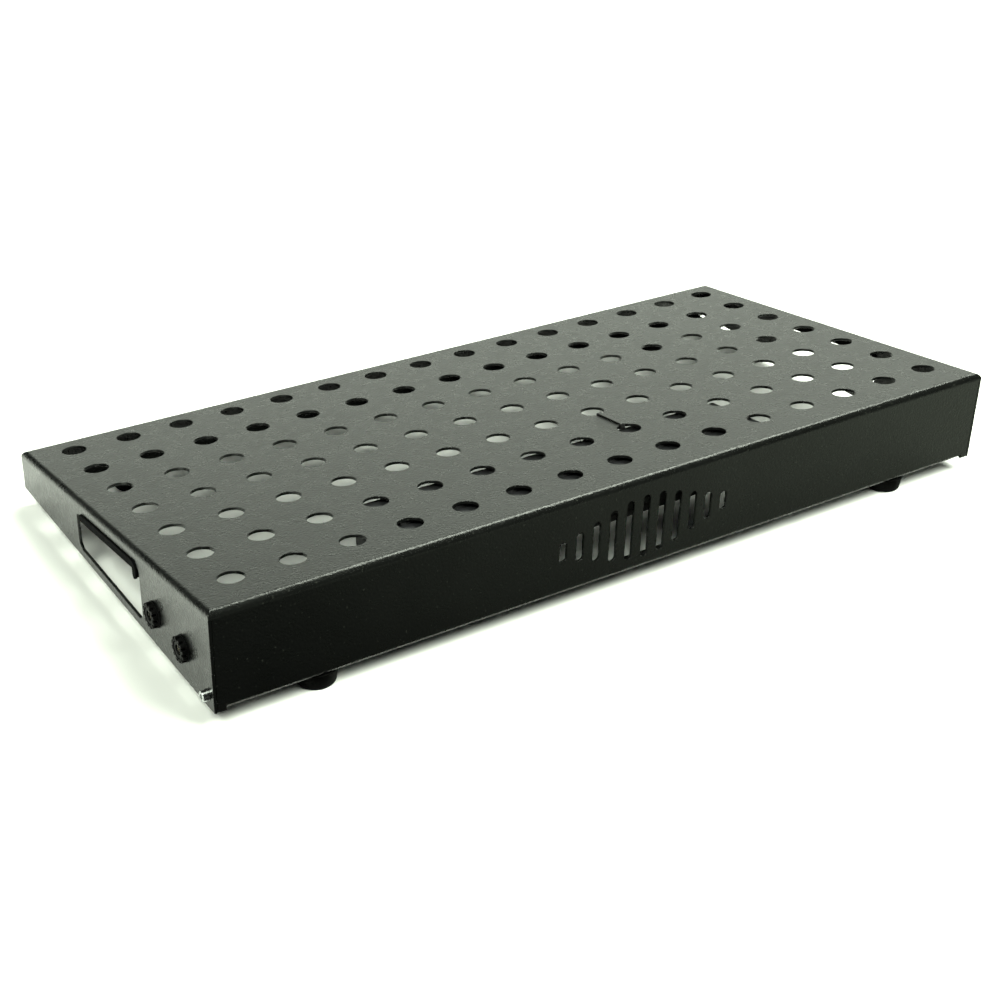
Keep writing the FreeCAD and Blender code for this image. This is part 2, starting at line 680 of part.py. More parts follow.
def supply_shell():
    """Extruded tube with board ledges and a screw boss in each corner."""
    left, right = supply_span()
    near, far, bottom = supply_faces()
    left, right = left + SUPPLY_END, right - SUPPLY_END
    length = right - left
    outer = box((left, near, bottom), (right, far, SUPPLY_TOP))
    outer = outer.makeFillet(SUPPLY_EDGE_ROUND, [edge for edge in outer.Edges if edge.Length > length - 1])
    inner = box((left - 1, near + SUPPLY_WALL, bottom + SUPPLY_WALL),
                (right + 1, far - SUPPLY_WALL, SUPPLY_TOP - SUPPLY_WALL))
    shell = outer.cut(inner)
    for down, height in boss_places():
        shell = shell.fuse(rod(BOSS_RADIUS, length, V(left, down, height), INWARD))
        shell = shell.cut(rod(M3_RADIUS, length, V(left, down, height), INWARD))
    for low, high in ((near + SUPPLY_WALL / 2, near + SUPPLY_WALL + LEDGE_DEPTH),
                      (far - SUPPLY_WALL - LEDGE_DEPTH, far - SUPPLY_WALL / 2)):
        ledge = box((left, low, BOARD_UNDERSIDE - LEDGE_THICKNESS), (right, high, BOARD_UNDERSIDE))
        shell = shell.fuse(ledge)
    for x in outlet_places():
        shell = shell.cut(rod(OUTLET_NECK, SUPPLY_WALL + 2, V(x, far + 1, outlet_height()), V(0, -1, 0)))
    lamp_hole = rod(LAMP_RADIUS, SUPPLY_WALL + 2, V(lamp_x(), far + 1, outlet_height()), V(0, -1, 0))
    shell = shell.cut(lamp_hole)
    return on_deck(shell.removeSplitter())


def supply_end(at_right):
    left, right = supply_span()
    near, far, bottom = supply_faces()
    x = right - SUPPLY_END if at_right else left
    plate = box((x, near, bottom), (x + SUPPLY_END, far, SUPPLY_TOP))
    corners = [edge for edge in plate.Edges if abs(edge.Length - SUPPLY_END) < 0.01]
    plate = plate.makeFillet(SUPPLY_EDGE_ROUND, corners)
    for down, height in boss_places():
        plate = plate.cut(rod(M3_HOLE_RADIUS, SUPPLY_END + 2, V(x - 1, down, height), INWARD))
    if at_right:
        inlet_hole = V(x - 1, (near + far) / 2, outlet_height())
        plate = plate.cut(rod(OUTLET_NECK, SUPPLY_END + 2, inlet_hole, INWARD))
    return on_deck(plate)


def supply_end_screws():
    left, right = supply_span()
    screws = []
    for x, inward in ((left, INWARD), (right, OUTWARD)):
        for down, height in boss_places():
            seat = V(x, down, height)
            head = rod(M3_HEAD_RADIUS, M3_HEAD_HEIGHT, seat - inward * M3_HEAD_HEIGHT, inward)
            recess = hexagon(M3_RECESS_FLATS, M3_RECESS_DEPTH, seat - inward * M3_HEAD_HEIGHT, inward)
            shank = rod(M3_RADIUS - THREAD_GAP, M3_LENGTH, seat, inward)
            screws.append(on_deck(head.cut(recess).fuse(shank)))
    return screws


def barrel_socket(place, direction, wall):
    """Round socket for a barrel plug, through a wall: direction points into the supply."""
    flange = rod(OUTLET_FLANGE, OUTLET_PROUD, place - direction * OUTLET_PROUD, direction)
    neck = rod(OUTLET_NECK - SNAP_GAP, wall + SLIDE_GAP, place, direction)
    body = rod(OUTLET_NECK + OUTLET_SHOULDER, OUTLET_DEPTH - wall, place + direction * wall, direction)
    bore = rod(OUTLET_BORE, OUTLET_DEPTH - OUTLET_FLOOR, place - direction * OUTLET_PROUD, direction)
    return flange.fuse(neck).fuse(body).cut(bore).removeSplitter()


def socket_pin(place, direction):
    start = place + direction * OUTLET_PIN_SETBACK
    floor = OUTLET_DEPTH - OUTLET_FLOOR - OUTLET_PROUD
    pin = rod(OUTLET_PIN, floor - OUTLET_PIN_SETBACK, start, direction)
    tip = [edge for edge in pin.Edges if edge.Closed and (edge.CenterOfMass - start).Length < 0.01]
    return pin.makeFillet(OUTLET_PIN_ROUND, tip)


def supply_sockets():
    """The outlets along the side that faces the low wall, then the inlet in the right end."""
    right = supply_span()[1]
    near, far = supply_faces()[:2]
    uphill = V(0, -1, 0)
    outlets, pins = [], []
    for x in outlet_places():
        place = V(x, far, outlet_height())
        outlets.append(on_deck(barrel_socket(place, uphill, SUPPLY_WALL)))
        pins.append(on_deck(socket_pin(place, uphill)))
    inlet_place = V(right, (near + far) / 2, outlet_height())
    inlet = on_deck(barrel_socket(inlet_place, OUTWARD, SUPPLY_END))
    inlet_pin = on_deck(socket_pin(inlet_place, OUTWARD))
    return outlets, pins, inlet, inlet_pin


def lamp_x():
    return supply_span()[1] - LAMP_FROM_END


def supply_lamp():
    far = SUPPLY_FROM_TALL_WALL + SUPPLY_WIDTH
    stem = rod(LAMP_RADIUS - SNAP_GAP, LAMP_LENGTH, V(lamp_x(), far, outlet_height()), V(0, -1, 0))
    dome = Part.makeSphere(LAMP_RADIUS - SNAP_GAP, V(lamp_x(), far, outlet_height()))
    return on_deck(stem.fuse(dome).removeSplitter())


def supply_board():
    left, right = supply_span()
    near, far = supply_faces()[:2]
    side_gap = SUPPLY_WALL + BOARD_SIDE_GAP
    return on_deck(box((left + BOARD_END_GAP, near + side_gap, BOARD_UNDERSIDE),
                       (right - BOARD_INLET_GAP, far - side_gap, BOARD_UNDERSIDE + BOARD_THICKNESS)))


def board_parts():
    """One isolating converter and one smoothing capacitor behind each outlet."""
    top = BOARD_UNDERSIDE + BOARD_THICKNESS
    converters, capacitors = [], []
    half = CONVERTER_SIZE / 2
    side = SUPPLY_FROM_TALL_WALL + CONVERTER_FROM_SIDE
    can_side = SUPPLY_FROM_TALL_WALL + CAPACITOR_FROM_SIDE
    for x in outlet_places():
        block = box((x - half, side, top), (x + half, side + CONVERTER_SIZE, top + CONVERTER_HEIGHT))
        converters.append(on_deck(block))
        capacitors.append(on_deck(rod(CAPACITOR_RADIUS, CAPACITOR_HEIGHT, V(x, can_side, top), UP)))
    return converters, capacitors


def tape(layer):
    """Hook-and-loop tape between the first two rows of deck holes: layer 0 is under the deck."""
    left, right = supply_span()
    middle = FIRST_ROW + ROW_PITCH / 2
    top = -SHEET - layer * TAPE_THICKNESS
    return on_deck(box((left + TAPE_END_MARGIN, middle - TAPE_WIDTH / 2, top - TAPE_THICKNESS),
                       (right - TAPE_END_MARGIN, middle + TAPE_WIDTH / 2, top)))


# ---- cable tie ----

def cable_tie():
    """Nylon tie round the deck's web between two holes, with its head underneath."""
    x, first = hole_place(TIE_COLUMN, TIE_ROWS[0])
    second = hole_place(TIE_COLUMN, TIE_ROWS[1])[1]
    near = first + math.sqrt((HOLE_DIAMETER / 2) ** 2 - (TIE_WIDTH / 2) ** 2)
    far = second - math.sqrt((HOLE_DIAMETER / 2) ** 2 - (TIE_WIDTH / 2) ** 2)
    half = TIE_WIDTH / 2
    gap = TIE_SLACK
    grown = gap + TIE_THICKNESS
    side = x - half
    outer = [V(side, near - grown, grown), V(side, far + grown, grown),
             V(side, far + grown, -SHEET - grown), V(side, near - grown, -SHEET - grown)]
    inner = [V(side, near - gap, gap), V(side, far + gap, gap),
             V(side, far + gap, -SHEET - gap), V(side, near - gap, -SHEET - gap)]
    loop = Part.Face(rounded_outline(outer, [TIE_OUTER_ROUND] * 4))
    loop = loop.cut(Part.Face(rounded_outline(inner, [TIE_INNER_ROUND] * 4)))
    band = loop.extrude(V(TIE_WIDTH, 0, 0))
    top = -SHEET - gap - TIE_SLACK
    bottom = top - TIE_HEAD_HEIGHT
    middle = far - TIE_HEAD_FROM_HOLE
    head = box((x - TIE_HEAD_WIDTH / 2, middle - TIE_HEAD_LENGTH / 2, bottom),
               (x + TIE_HEAD_WIDTH / 2, middle + TIE_HEAD_LENGTH / 2, top))
    stub = box((side, middle - TIE_THICKNESS / 2, bottom - TIE_STUB),
               (side + TIE_WIDTH, middle + TIE_THICKNESS / 2, bottom + TIE_THICKNESS))
    return on_deck(band.fuse(head).fuse(stub).removeSplitter())


# ---- assembly ----

def build_nodes():
    nodes = {
        "deck_panel": deck_panel(),
        "tall_wall": tall_wall(),
        "low_wall": low_wall(),
        "left_wall": left_wall(),
        "right_wall": right_wall(),
        "cable_tie": cable_tie(),
    }
    nodes["left_handle_trim"] = handle_trim(LEFT, 1)
    nodes["right_handle_trim"] = handle_trim(RIGHT, -1)

    foot_names = ("foot_tall_left", "foot_low_left", "foot_tall_right", "foot_low_right")
    for name, (x, y) in zip(foot_names, foot_places()):
        nodes[name] = foot(x, y)
    washers, screws, nuts = foot_fasteners()
    nodes["foot_washers"] = Part.makeCompound(washers)
    nodes["foot_screws"] = Part.makeCompound(screws)
    nodes["foot_nuts"] = Part.makeCompound(nuts)
    screws, nuts = corner_fasteners()
    nodes["corner_screws"] = Part.makeCompound(screws)
    nodes["corner_nuts"] = Part.makeCompound(nuts)

    for name, (y, z) in jack_places().items():
        nodes[name + "_jack_body"] = jack_body(y, z)
        nodes[name + "_jack_cap"] = jack_cap(y, z)
        nodes[name + "_jack_nut"] = jack_nut(y, z)
        nodes[name + "_jack_washer"] = jack_washer(y, z)
        nodes[name + "_sleeve_contact"] = jack_sleeve(y, z)
        nodes[name + "_tip_spring"] = tip_spring(y, z)

    outlets, outlet_pins, inlet, inlet_pin = supply_sockets()
    converters, capacitors = board_parts()
    nodes["supply_shell"] = supply_shell()
    nodes["supply_end_left"] = supply_end(False)
    nodes["supply_end_right"] = supply_end(True)
    nodes["supply_end_screws"] = Part.makeCompound(supply_end_screws())
    nodes["supply_outlets"] = Part.makeCompound(outlets)
    nodes["supply_outlet_pins"] = Part.makeCompound(outlet_pins)
    nodes["supply_inlet"] = inlet
    nodes["supply_inlet_pin"] = inlet_pin
    nodes["supply_lamp"] = supply_lamp()
    nodes["supply_board"] = supply_board()
    nodes["supply_converters"] = Part.makeCompound(converters)
    nodes["supply_capacitors"] = Part.makeCompound(capacitors)
    nodes["loop_tape"] = tape(0)
    nodes["hook_tape"] = tape(1)
    return nodes


os.makedirs("parts", exist_ok=True)
for node_name, shape in build_nodes().items():
    shape.exportStep("parts/" + node_name + ".step")
    bounds = shape.BoundBox
    print(f"{node_name:24s} solids {len(shape.Solids):2d} valid {shape.isValid()} "
          f"x {bounds.XMin:7.1f} {bounds.XMax:7.1f} y {bounds.YMin:7.1f} {bounds.YMax:7.1f} "
          f"z {bounds.ZMin:6.1f} {bounds.ZMax:6.1f}")
for jack_name, (jack_y, jack_z) in jack_places().items():
    print(jack_name, "tip spring pivot", tip_spring_pivot(jack_y, jack_z))
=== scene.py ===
import json
import math
import bmesh
import bpy
from mathutils import Matrix, Vector, noise
from mathutils.geometry import delaunay_2d_cdt


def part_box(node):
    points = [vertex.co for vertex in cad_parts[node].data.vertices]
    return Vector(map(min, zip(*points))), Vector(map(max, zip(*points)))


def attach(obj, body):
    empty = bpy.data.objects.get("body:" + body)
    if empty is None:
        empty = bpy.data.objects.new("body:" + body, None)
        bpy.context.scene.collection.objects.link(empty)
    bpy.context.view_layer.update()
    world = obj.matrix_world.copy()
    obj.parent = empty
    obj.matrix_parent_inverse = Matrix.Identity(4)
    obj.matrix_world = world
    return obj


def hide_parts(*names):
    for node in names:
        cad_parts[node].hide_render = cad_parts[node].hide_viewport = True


# The looks of a folded-steel pedalboard. Pieces are modelled in millimetres, in the CAD model's
# frame: X runs along the two long walls, the tall wall is at -Y, and the feet stand on Z = 0.

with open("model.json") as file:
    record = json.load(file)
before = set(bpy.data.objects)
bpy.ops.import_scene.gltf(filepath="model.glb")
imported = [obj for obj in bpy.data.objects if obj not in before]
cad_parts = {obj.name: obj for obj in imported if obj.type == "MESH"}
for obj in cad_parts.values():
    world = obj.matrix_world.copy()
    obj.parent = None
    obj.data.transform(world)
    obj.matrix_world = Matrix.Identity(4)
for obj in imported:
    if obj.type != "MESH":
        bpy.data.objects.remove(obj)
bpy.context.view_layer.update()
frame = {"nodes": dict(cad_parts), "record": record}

MM = 0.001
TAU = 2 * math.pi
CHASSIS = "chassis"
X, Y, Z = Vector((1, 0, 0)), Vector((0, 1, 0)), Vector((0, 0, 1))


def mm_box(node):
    low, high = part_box(node)
    return low / MM, high / MM


# ---- sizes that the CAD model has too ----
LEFT = mm_box("left_wall")[0].x
RIGHT = mm_box("right_wall")[1].x
TALL_FACE = mm_box("tall_wall")[0].y
LOW_FACE = mm_box("low_wall")[1].y
BASE = mm_box("tall_wall")[0].z
TALL_HEIGHT = 67.4
LOW_HEIGHT = 28.4
SHEET = 2.0
BEND_RADIUS = 4.5
SEAM = 0.15
FLANGE_DEPTH = 15.0
FLANGE_END_GAP = 8.0
HOLE_COLUMNS, HOLE_ROWS = 15, 7
HOLE_RADIUS = 8.25
COLUMN_PITCH, ROW_PITCH = 39.7, 42.2
FIRST_COLUMN, FIRST_ROW = 30.3, 35.0
FOOT_HEIGHT = 11.0
FOOT_TOP_RADIUS, FOOT_BOTTOM_RADIUS = 13.6, 12.0
FOOT_EDGE_ROUND = 1.8
FOOT_TAB_WIDTH, FOOT_TAB_DEPTH = 36.0, 29.0
RECESS_RADIUS, RECESS_DEPTH = 5.2, 6.0
SLOT_NEAR, SLOT_FAR = 100.0, 203.0
SLOT_SILL, SLOT_UNDER_DECK = 6.0, 10.1
SLOT_LOW_ROUND, SLOT_HIGH_ROUND = 6.0, 4.0
TRIM_GRIP, TRIM_LIP, TRIM_SIDE = 2.6, 3.4, 1.3
TRIM_FREE_GAP, TRIM_FAR_GAP, TRIM_TAIL, TRIM_CORNER_ROUND = 2.4, 8.0, 34.2, 5.5
BAR_COUNT, BAR_PITCH, BAR_WIDTH = 11, 13.0, 5.5
BAR_TALLEST, BAR_SHORTEST_SHARE, BAR_CENTRE_HEIGHT = 46.0, 0.25, 31.5
PLUG_RADIUS, LINER_RADIUS, BUSH_RADIUS, BUSH_HOLE_RADIUS = 3.25, 4.3, 5.6, 5.8
BUSH_PROUD, BUSH_LIP, NUT_RADIUS, NUT_PROUD = 4.0, 1.2, 8.2, 4.4
NUT_NOTCHES, NUT_NOTCH_DEPTH, NUT_NOTCH_SHARE = 12, 2.6, 0.24
WASHER_THICKNESS = 0.8
HOUSING_LENGTH, HOUSING_WIDTH, HOUSING_HEIGHT = 24.0, 16.0, 17.0
HOUSING_WALL, HOUSING_FRONT = 1.5, 4.0
CAP_THICKNESS = 2.0
STRIP_WIDTH, STRIP_THICKNESS = 3.0, 0.5
LEAF_WIDTH, LEAF_THICKNESS, LEAF_HEIGHT = 4.0, 0.4, 4.2
LEAF_REACH, LEAF_TAIL, LEAF_DIP, LEAF_PLAY = 12.0, 6.0, 1.9, 0.35
M4_RADIUS, M4_HOLE_RADIUS, M4_FLATS, M4_NUT_HEIGHT = 2.0, 2.25, 7.0, 3.2
HEAD_RADIUS, HEAD_HEIGHT = 4.0, 2.6
CORNER_HEAD_RADIUS, CORNER_HEAD_HEIGHT, CORNER_HEAD_ROUND = 3.5, 4.4, 0.6
CORNER_TAB_REACH, CORNER_TAB_LOW, CORNER_TAB_HIGH, CORNER_TAB_ROUND = 16.0, 4.0, 20.0, 2.0
FOOT_SCREW_LENGTH, CORNER_SCREW_LENGTH = 12.0, 10.0
FOOT_WASHER_THICKNESS, FOOT_WASHER_MARGIN = 1.0, 0.8
SUPPLY_WALL, SUPPLY_END, SUPPLY_ROUND = 1.8, 2.0, 2.5
SUPPLY_SCREW_INSET = 4.2
OUTLET_COUNT = 8
OUTLET_FLANGE, OUTLET_NECK, OUTLET_BORE = 5.6, 4.2, 2.9
OUTLET_PROUD, OUTLET_DEPTH = 1.2, 13.0
TIE_COLUMN, TIE_ROWS = 8, (1, 2)
TIE_WIDTH, TIE_THICKNESS = 3.6, 1.2

TILT = math.atan2(TALL_HEIGHT - LOW_HEIGHT, LOW_FACE - TALL_FACE)
SLOPE_LENGTH = (LOW_FACE - TALL_FACE) / math.cos(TILT)
DECK_TOP = BASE + TALL_HEIGHT
TALL_TANGENT = BEND_RADIUS * math.tan((math.pi / 2 + TILT) / 2)
LOW_TANGENT = BEND_RADIUS * math.tan((math.pi / 2 - TILT) / 2)
DOWNHILL = Vector((0, math.cos(TILT), -math.sin(TILT)))
OFF_DECK = Vector((0, math.sin(TILT), math.cos(TILT)))
DECK_ORIGIN = Vector((0, TALL_FACE, DECK_TOP))

EDGE_ROUND = 0.35      # the coat's thickness round a cut edge
BEND_STEPS, MITRE_STEPS = 12, 9
TINY = 1e-6


# ---- camera, lamps and floor: how each is made ----
CAMERA_PLACE = Vector((-0.60533, -0.87555, 0.58613))
CAMERA_FORWARD = Vector((0.490404, 0.720294, -0.490592))
CAMERA_UP = Vector((0.252377, 0.421433, 0.871034))
LENS = 60.47


def make_camera():
    data = bpy.data.cameras.new("camera")
    data.lens = LENS
    data.sensor_width = 36.0
    camera = bpy.data.objects.new("camera", data)
    bpy.context.collection.objects.link(camera)
    right = CAMERA_FORWARD.cross(CAMERA_UP).normalized()
    up = right.cross(CAMERA_FORWARD).normalized()
    turned = Matrix((right, up, -CAMERA_FORWARD)).transposed()
    camera.matrix_world = Matrix.Translation(CAMERA_PLACE) @ turned.to_4x4()
    bpy.context.scene.camera = camera


def softbox(name, place, aim, width, height, radiance, colour):
    """A rectangular area light: radiance is what a mirror would see in it."""
    data = bpy.data.lights.new(name, "AREA")
    data.shape = "RECTANGLE"
    data.size, data.size_y = width, height
    data.energy = radiance * math.pi * width * height
    data.color = colour
    lamp = bpy.data.objects.new(name, data)
    bpy.context.collection.objects.link(lamp)
    lamp.location = place
    lamp.rotation_mode = "QUATERNION"
    lamp.rotation_quaternion = (Vector(aim) - Vector(place)).to_track_quat("-Z", "Y")
    hide_from(lamp, "camera")
    return lamp


def put_on_stage(mesh, material):
    mesh.materials.append(material)
    staged = bpy.data.objects.new(mesh.name, mesh)
    bpy.context.collection.objects.link(staged)
    return staged


def make_floor(name, corners, material):
    mesh = bpy.data.meshes.new(name)
    mesh.from_pydata([(x, y, 0) for x, y in corners], [], [tuple(range(len(corners)))])
    return put_on_stage(mesh, material)


def hide_from(thing, *rays):
    for ray in rays:
        setattr(thing, "visible_" + ray, False)


# ---- materials ----

class Look:
    """A Principled material, and what is needed to grow noise nodes on it."""

    def __init__(self, name, colour, roughness, metallic=0.0, specular=0.5):
        self.material = bpy.data.materials.new(name)
        self.material.use_nodes = True
        self.tree = self.material.node_tree
        self.shader = self.tree.nodes["Principled BSDF"]
        self.shader.inputs["Base Color"].default_value = (*colour, 1)
        self.shader.inputs["Roughness"].default_value = roughness
        self.shader.inputs["Metallic"].default_value = metallic
        self.shader.inputs["Specular IOR Level"].default_value = specular
        self.coords = self.tree.nodes.new("ShaderNodeTexCoord")
        self.bump = None

    def add(self, kind, **inputs):
        node = self.tree.nodes.new(kind)
        for name, value in inputs.items():
            socket = node.inputs[name.replace("_", " ")]
            if isinstance(value, bpy.types.NodeSocket):
                self.tree.links.new(value, socket)
            else:
                socket.default_value = value
        return node

    def noise(self, size_mm, detail=2.0, stretch=None):
        """Noise with features of about this size, as a 0 to 1 socket."""
        place = self.coords.outputs["Object"]
        if stretch:
            place = self.add("ShaderNodeMapping", Vector=place, Scale=stretch).outputs["Vector"]
        node = self.add("ShaderNodeTexNoise", Vector=place, Scale=1 / (size_mm * MM), Detail=detail)
        return node.outputs["Fac"]

    def spread(self, source, low, high, start=0.3, end=0.7):
        """The source's middle range, stretched to run from low to high."""
        node = self.add("ShaderNodeMapRange", Value=source)
        for name, value in (("From Min", start), ("From Max", end), ("To Min", low), ("To Max", high)):
            node.inputs[name].default_value = value
        return node.outputs["Result"]

    def vary_roughness(self, source, low, high):
        self.tree.links.new(self.spread(source, low, high), self.shader.inputs["Roughness"])
        return self

    def vary_colour(self, source, first, second, start=0.3, end=0.7):
        node = self.tree.nodes.new("ShaderNodeMix")
        node.data_type = "RGBA"
        self.tree.links.new(self.spread(source, 0, 1, start, end), node.inputs["Factor"])
        for socket, colour in ((node.inputs[6], first), (node.inputs[7], second)):
            if isinstance(colour, bpy.types.NodeSocket):
                self.tree.links.new(colour, socket)
            else:
                socket.default_value = (*colour, 1)
        self.tree.links.new(node.outputs[2], self.shader.inputs["Base Color"])
        return node.outputs[2]

    def relief(self, source, height_mm, strength=1.0):
        """Bump of this height, on top of any bump that is there already."""
        node = self.add("ShaderNodeBump", Height=source, Distance=height_mm * MM, Strength=strength)
        if self.bump:
            self.tree.links.new(self.bump, node.inputs["Normal"])
        self.bump = node.outputs["Normal"]
        self.tree.links.new(self.bump, self.shader.inputs["Normal"])
        return self


def powder_coat():
    look = Look("powder_coat", (0.004, 0.0043, 0.004), 0.28)
    look.vary_roughness(look.noise(9.0), 0.25, 0.32)
    tone = look.vary_colour(look.noise(40.0, detail=4.0), (0.0035, 0.0038, 0.0035), (0.005, 0.0054, 0.005))
    look.vary_colour(look.noise(2.2, detail=1.0), tone, (0.02, 0.021, 0.018), start=0.69, end=0.74)
    look.relief(look.noise(5.0), 0.06)
    look.relief(look.noise(1.6, detail=3.0), 0.3)
    return look.material


def simple_look(name, colour, roughness, grain_mm, grain_height, metallic=0.0, lighter=1.5,
                patch_mm=12.0, specular=0.5):
    """Moulded plastic, rubber or plated metal: mottled tone and roughness over a fine grain."""
    look = Look(name, colour, roughness, metallic, specular)
    paler = tuple(min(1.0, part * lighter) for part in colour)
    look.vary_colour(look.noise(patch_mm, detail=4.0), colour, paler)
    look.vary_roughness(look.noise(patch_mm / 3), roughness - 0.05, roughness + 0.07)
    look.relief(look.noise(grain_mm, detail=3.0), grain_height)
    return look.material


def tape_fabric():
    look = Look("tape_fabric", (0.012, 0.012, 0.013), 0.9)
    look.vary_colour(look.noise(0.5, detail=2.0), (0.006, 0.006, 0.006), (0.03, 0.03, 0.032))
    for stretch in ((1, 0.25, 1), (0.25, 1, 1)):
        look.relief(look.noise(0.6, stretch=stretch), 0.2)
    look.shader.inputs["Sheen Weight"].default_value = 0.3
    look.shader.inputs["Sheen Roughness"].default_value = 0.4
    return look.material


MATERIALS = {
    "powder_coat": powder_coat(),
    "foot_rubber": simple_look("foot_rubber", (0.003, 0.003, 0.003), 0.62, 0.8, 0.04, specular=0.03),
    "trim_rubber": simple_look("trim_rubber", (0.003, 0.003, 0.003), 0.65, 0.7, 0.03, specular=0.01),
    "zinc_steel": simple_look("zinc_steel", (0.60, 0.62, 0.62), 0.24, 0.6, 0.012, 1.0, 1.1, 4.0),
    "tie_nylon": simple_look("tie_nylon", (0.010, 0.010, 0.010), 0.34, 0.5, 0.02),
    "jack_plastic": simple_look("jack_plastic", (0.003, 0.003, 0.003), 0.45, 0.6, 0.02, specular=0.06),
    "contact_metal": simple_look("contact_metal", (0.72, 0.69, 0.62), 0.22, 0.5, 0.008, 1.0, 1.1, 3.0),
    "supply_paint": simple_look("supply_paint", (0.010, 0.010, 0.011), 0.45, 0.7, 0.03),
    "socket_plastic": simple_look("socket_plastic", (0.014, 0.014, 0.014), 0.42, 0.6, 0.02),
    "lamp_lens": simple_look("lamp_lens", (0.05, 0.40, 0.10), 0.20, 1.0, 0.01),
    "circuit_board": simple_look("circuit_board", (0.010, 0.09, 0.035), 0.40, 1.2, 0.03),
    "converter_epoxy": simple_look("converter_epoxy", (0.02, 0.02, 0.02), 0.55, 0.8, 0.03),
    "capacitor_sleeve": simple_look("capacitor_sleeve", (0.03, 0.04, 0.09), 0.30, 1.0, 0.02),
    "tape_fabric": tape_fabric(),
}


# ---- making pieces ----

def make_piece(name, bm, slot, replaced, body=CHASSIS, sharp=38):
    """Turns millimetre geometry into a piece that stands for CAD nodes and rides on a body."""
    bmesh.ops.recalc_face_normals(bm, faces=bm.faces)
    mesh = bpy.data.meshes.new(name)
    bm.to_mesh(mesh)
    bm.free()
    mesh.polygons.foreach_set("use_smooth", [True] * len(mesh.polygons))
    mesh.set_sharp_from_angle(angle=math.radians(sharp))
    mesh.materials.append(MATERIALS[slot])
    piece = bpy.data.objects.new(name, mesh)
    bpy.context.collection.objects.link(piece)
    weighted = piece.modifiers.new("weighted", "WEIGHTED_NORMAL")
    weighted.keep_sharp = True
    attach(piece, body)
    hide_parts(*replaced)
    return piece


def rounded(points, radii, closed=True, steps=6):
    """A 2-D line through the points, with each corner rounded to its own radius."""
    line = []
    for k, corner in enumerate(points):
        corner = Vector(corner)
        if radii[k] == 0 or (not closed and k in (0, len(points) - 1)):
            line.append(corner)
            continue
        before = (Vector(points[k - 1]) - corner).normalized()
        after = (Vector(points[(k + 1) % len(points)]) - corner).normalized()
        half = before.angle(after) / 2
        centre = corner + (before + after).normalized() * radii[k] / math.sin(half)
        start = corner + before * radii[k] / math.tan(half) - centre
        end = corner + after * radii[k] / math.tan(half) - centre
        turn = math.atan2(start.x * end.y - start.y * end.x, start.dot(end))
        first = math.atan2(start.y, start.x)
        for step in range(steps + 1):
            angle = first + turn * step / steps
            line.append(centre + Vector((math.cos(angle), math.sin(angle))) * radii[k])
    return line


def circle(x, y, radius, segments=48):
    return [Vector((x + radius * math.cos(TAU * k / segments), y + radius * math.sin(TAU * k / segments)))
            for k in range(segments)]


def rectangle(low, high, radius=0.0, steps=4):
    points = [(low[0], low[1]), (high[0], low[1]), (high[0], high[1]), (low[0], high[1])]
    return rounded(points, [radius] * 4, steps=steps)


def oriented(loop, anticlockwise):
    area = sum(a.x * b.y - b.x * a.y for a, b in zip(loop, loop[1:] + loop[:1]))
    return loop if (area > 0) == anticlockwise else loop[::-1]


def split_at(loop, heights):
    """The loop with a point wherever one of its edges crosses one of the heights."""
    result = []
    for here, after in zip(loop, loop[1:] + loop[:1]):
        result.append(here)
        shares = [(height - here.y) / (after.y - here.y) for height in heights
                  if min(here.y, after.y) + TINY < height < max(here.y, after.y) - TINY]
        result += [here.lerp(after, share) for share in sorted(shares)]
    return result


def inset_vectors(loop, distance, seam):
    """For each point, the move that insets its two edges, or only the one that isn't a seam."""
    moves = []
    for k, here in enumerate(loop):
        before, after = loop[k - 1], loop[(k + 1) % len(loop)]
        rows = []
        for a, b in ((before, here), (here, after)):
            along = (b - a).normalized()
            rows.append((Vector((-along.y, along.x)), 0.0 if seam and seam(a, b) else distance))
        (n1, d1), (n2, d2) = rows
        cross = n1.x * n2.y - n1.y * n2.x
        if abs(cross) < 0.02:
            moves.append(n1 * max(d1, d2))
        else:
            moves.append(Vector((d1 * n2.y - d2 * n1.y, n1.x * d2 - n2.x * d1)) / cross)
    return moves


def inside(point, loop):
    result = False
    for a, b in zip(loop, loop[1:] + loop[:1]):
        if (a.y > point.y) != (b.y > point.y):
            if point.x < a.x + (point.y - a.y) / (b.y - a.y) * (b.x - a.x):
                result = not result
    return result


def loop_box(loop):
    return min(p.x for p in loop), max(p.x for p in loop), min(p.y for p in loop), max(p.y for p in loop)


def in_some(point, loops_and_boxes):
    return any(x0 < point.x < x1 and y0 < point.y < y1 and inside(point, loop)
               for loop, (x0, x1, y0, y1) in loops_and_boxes)


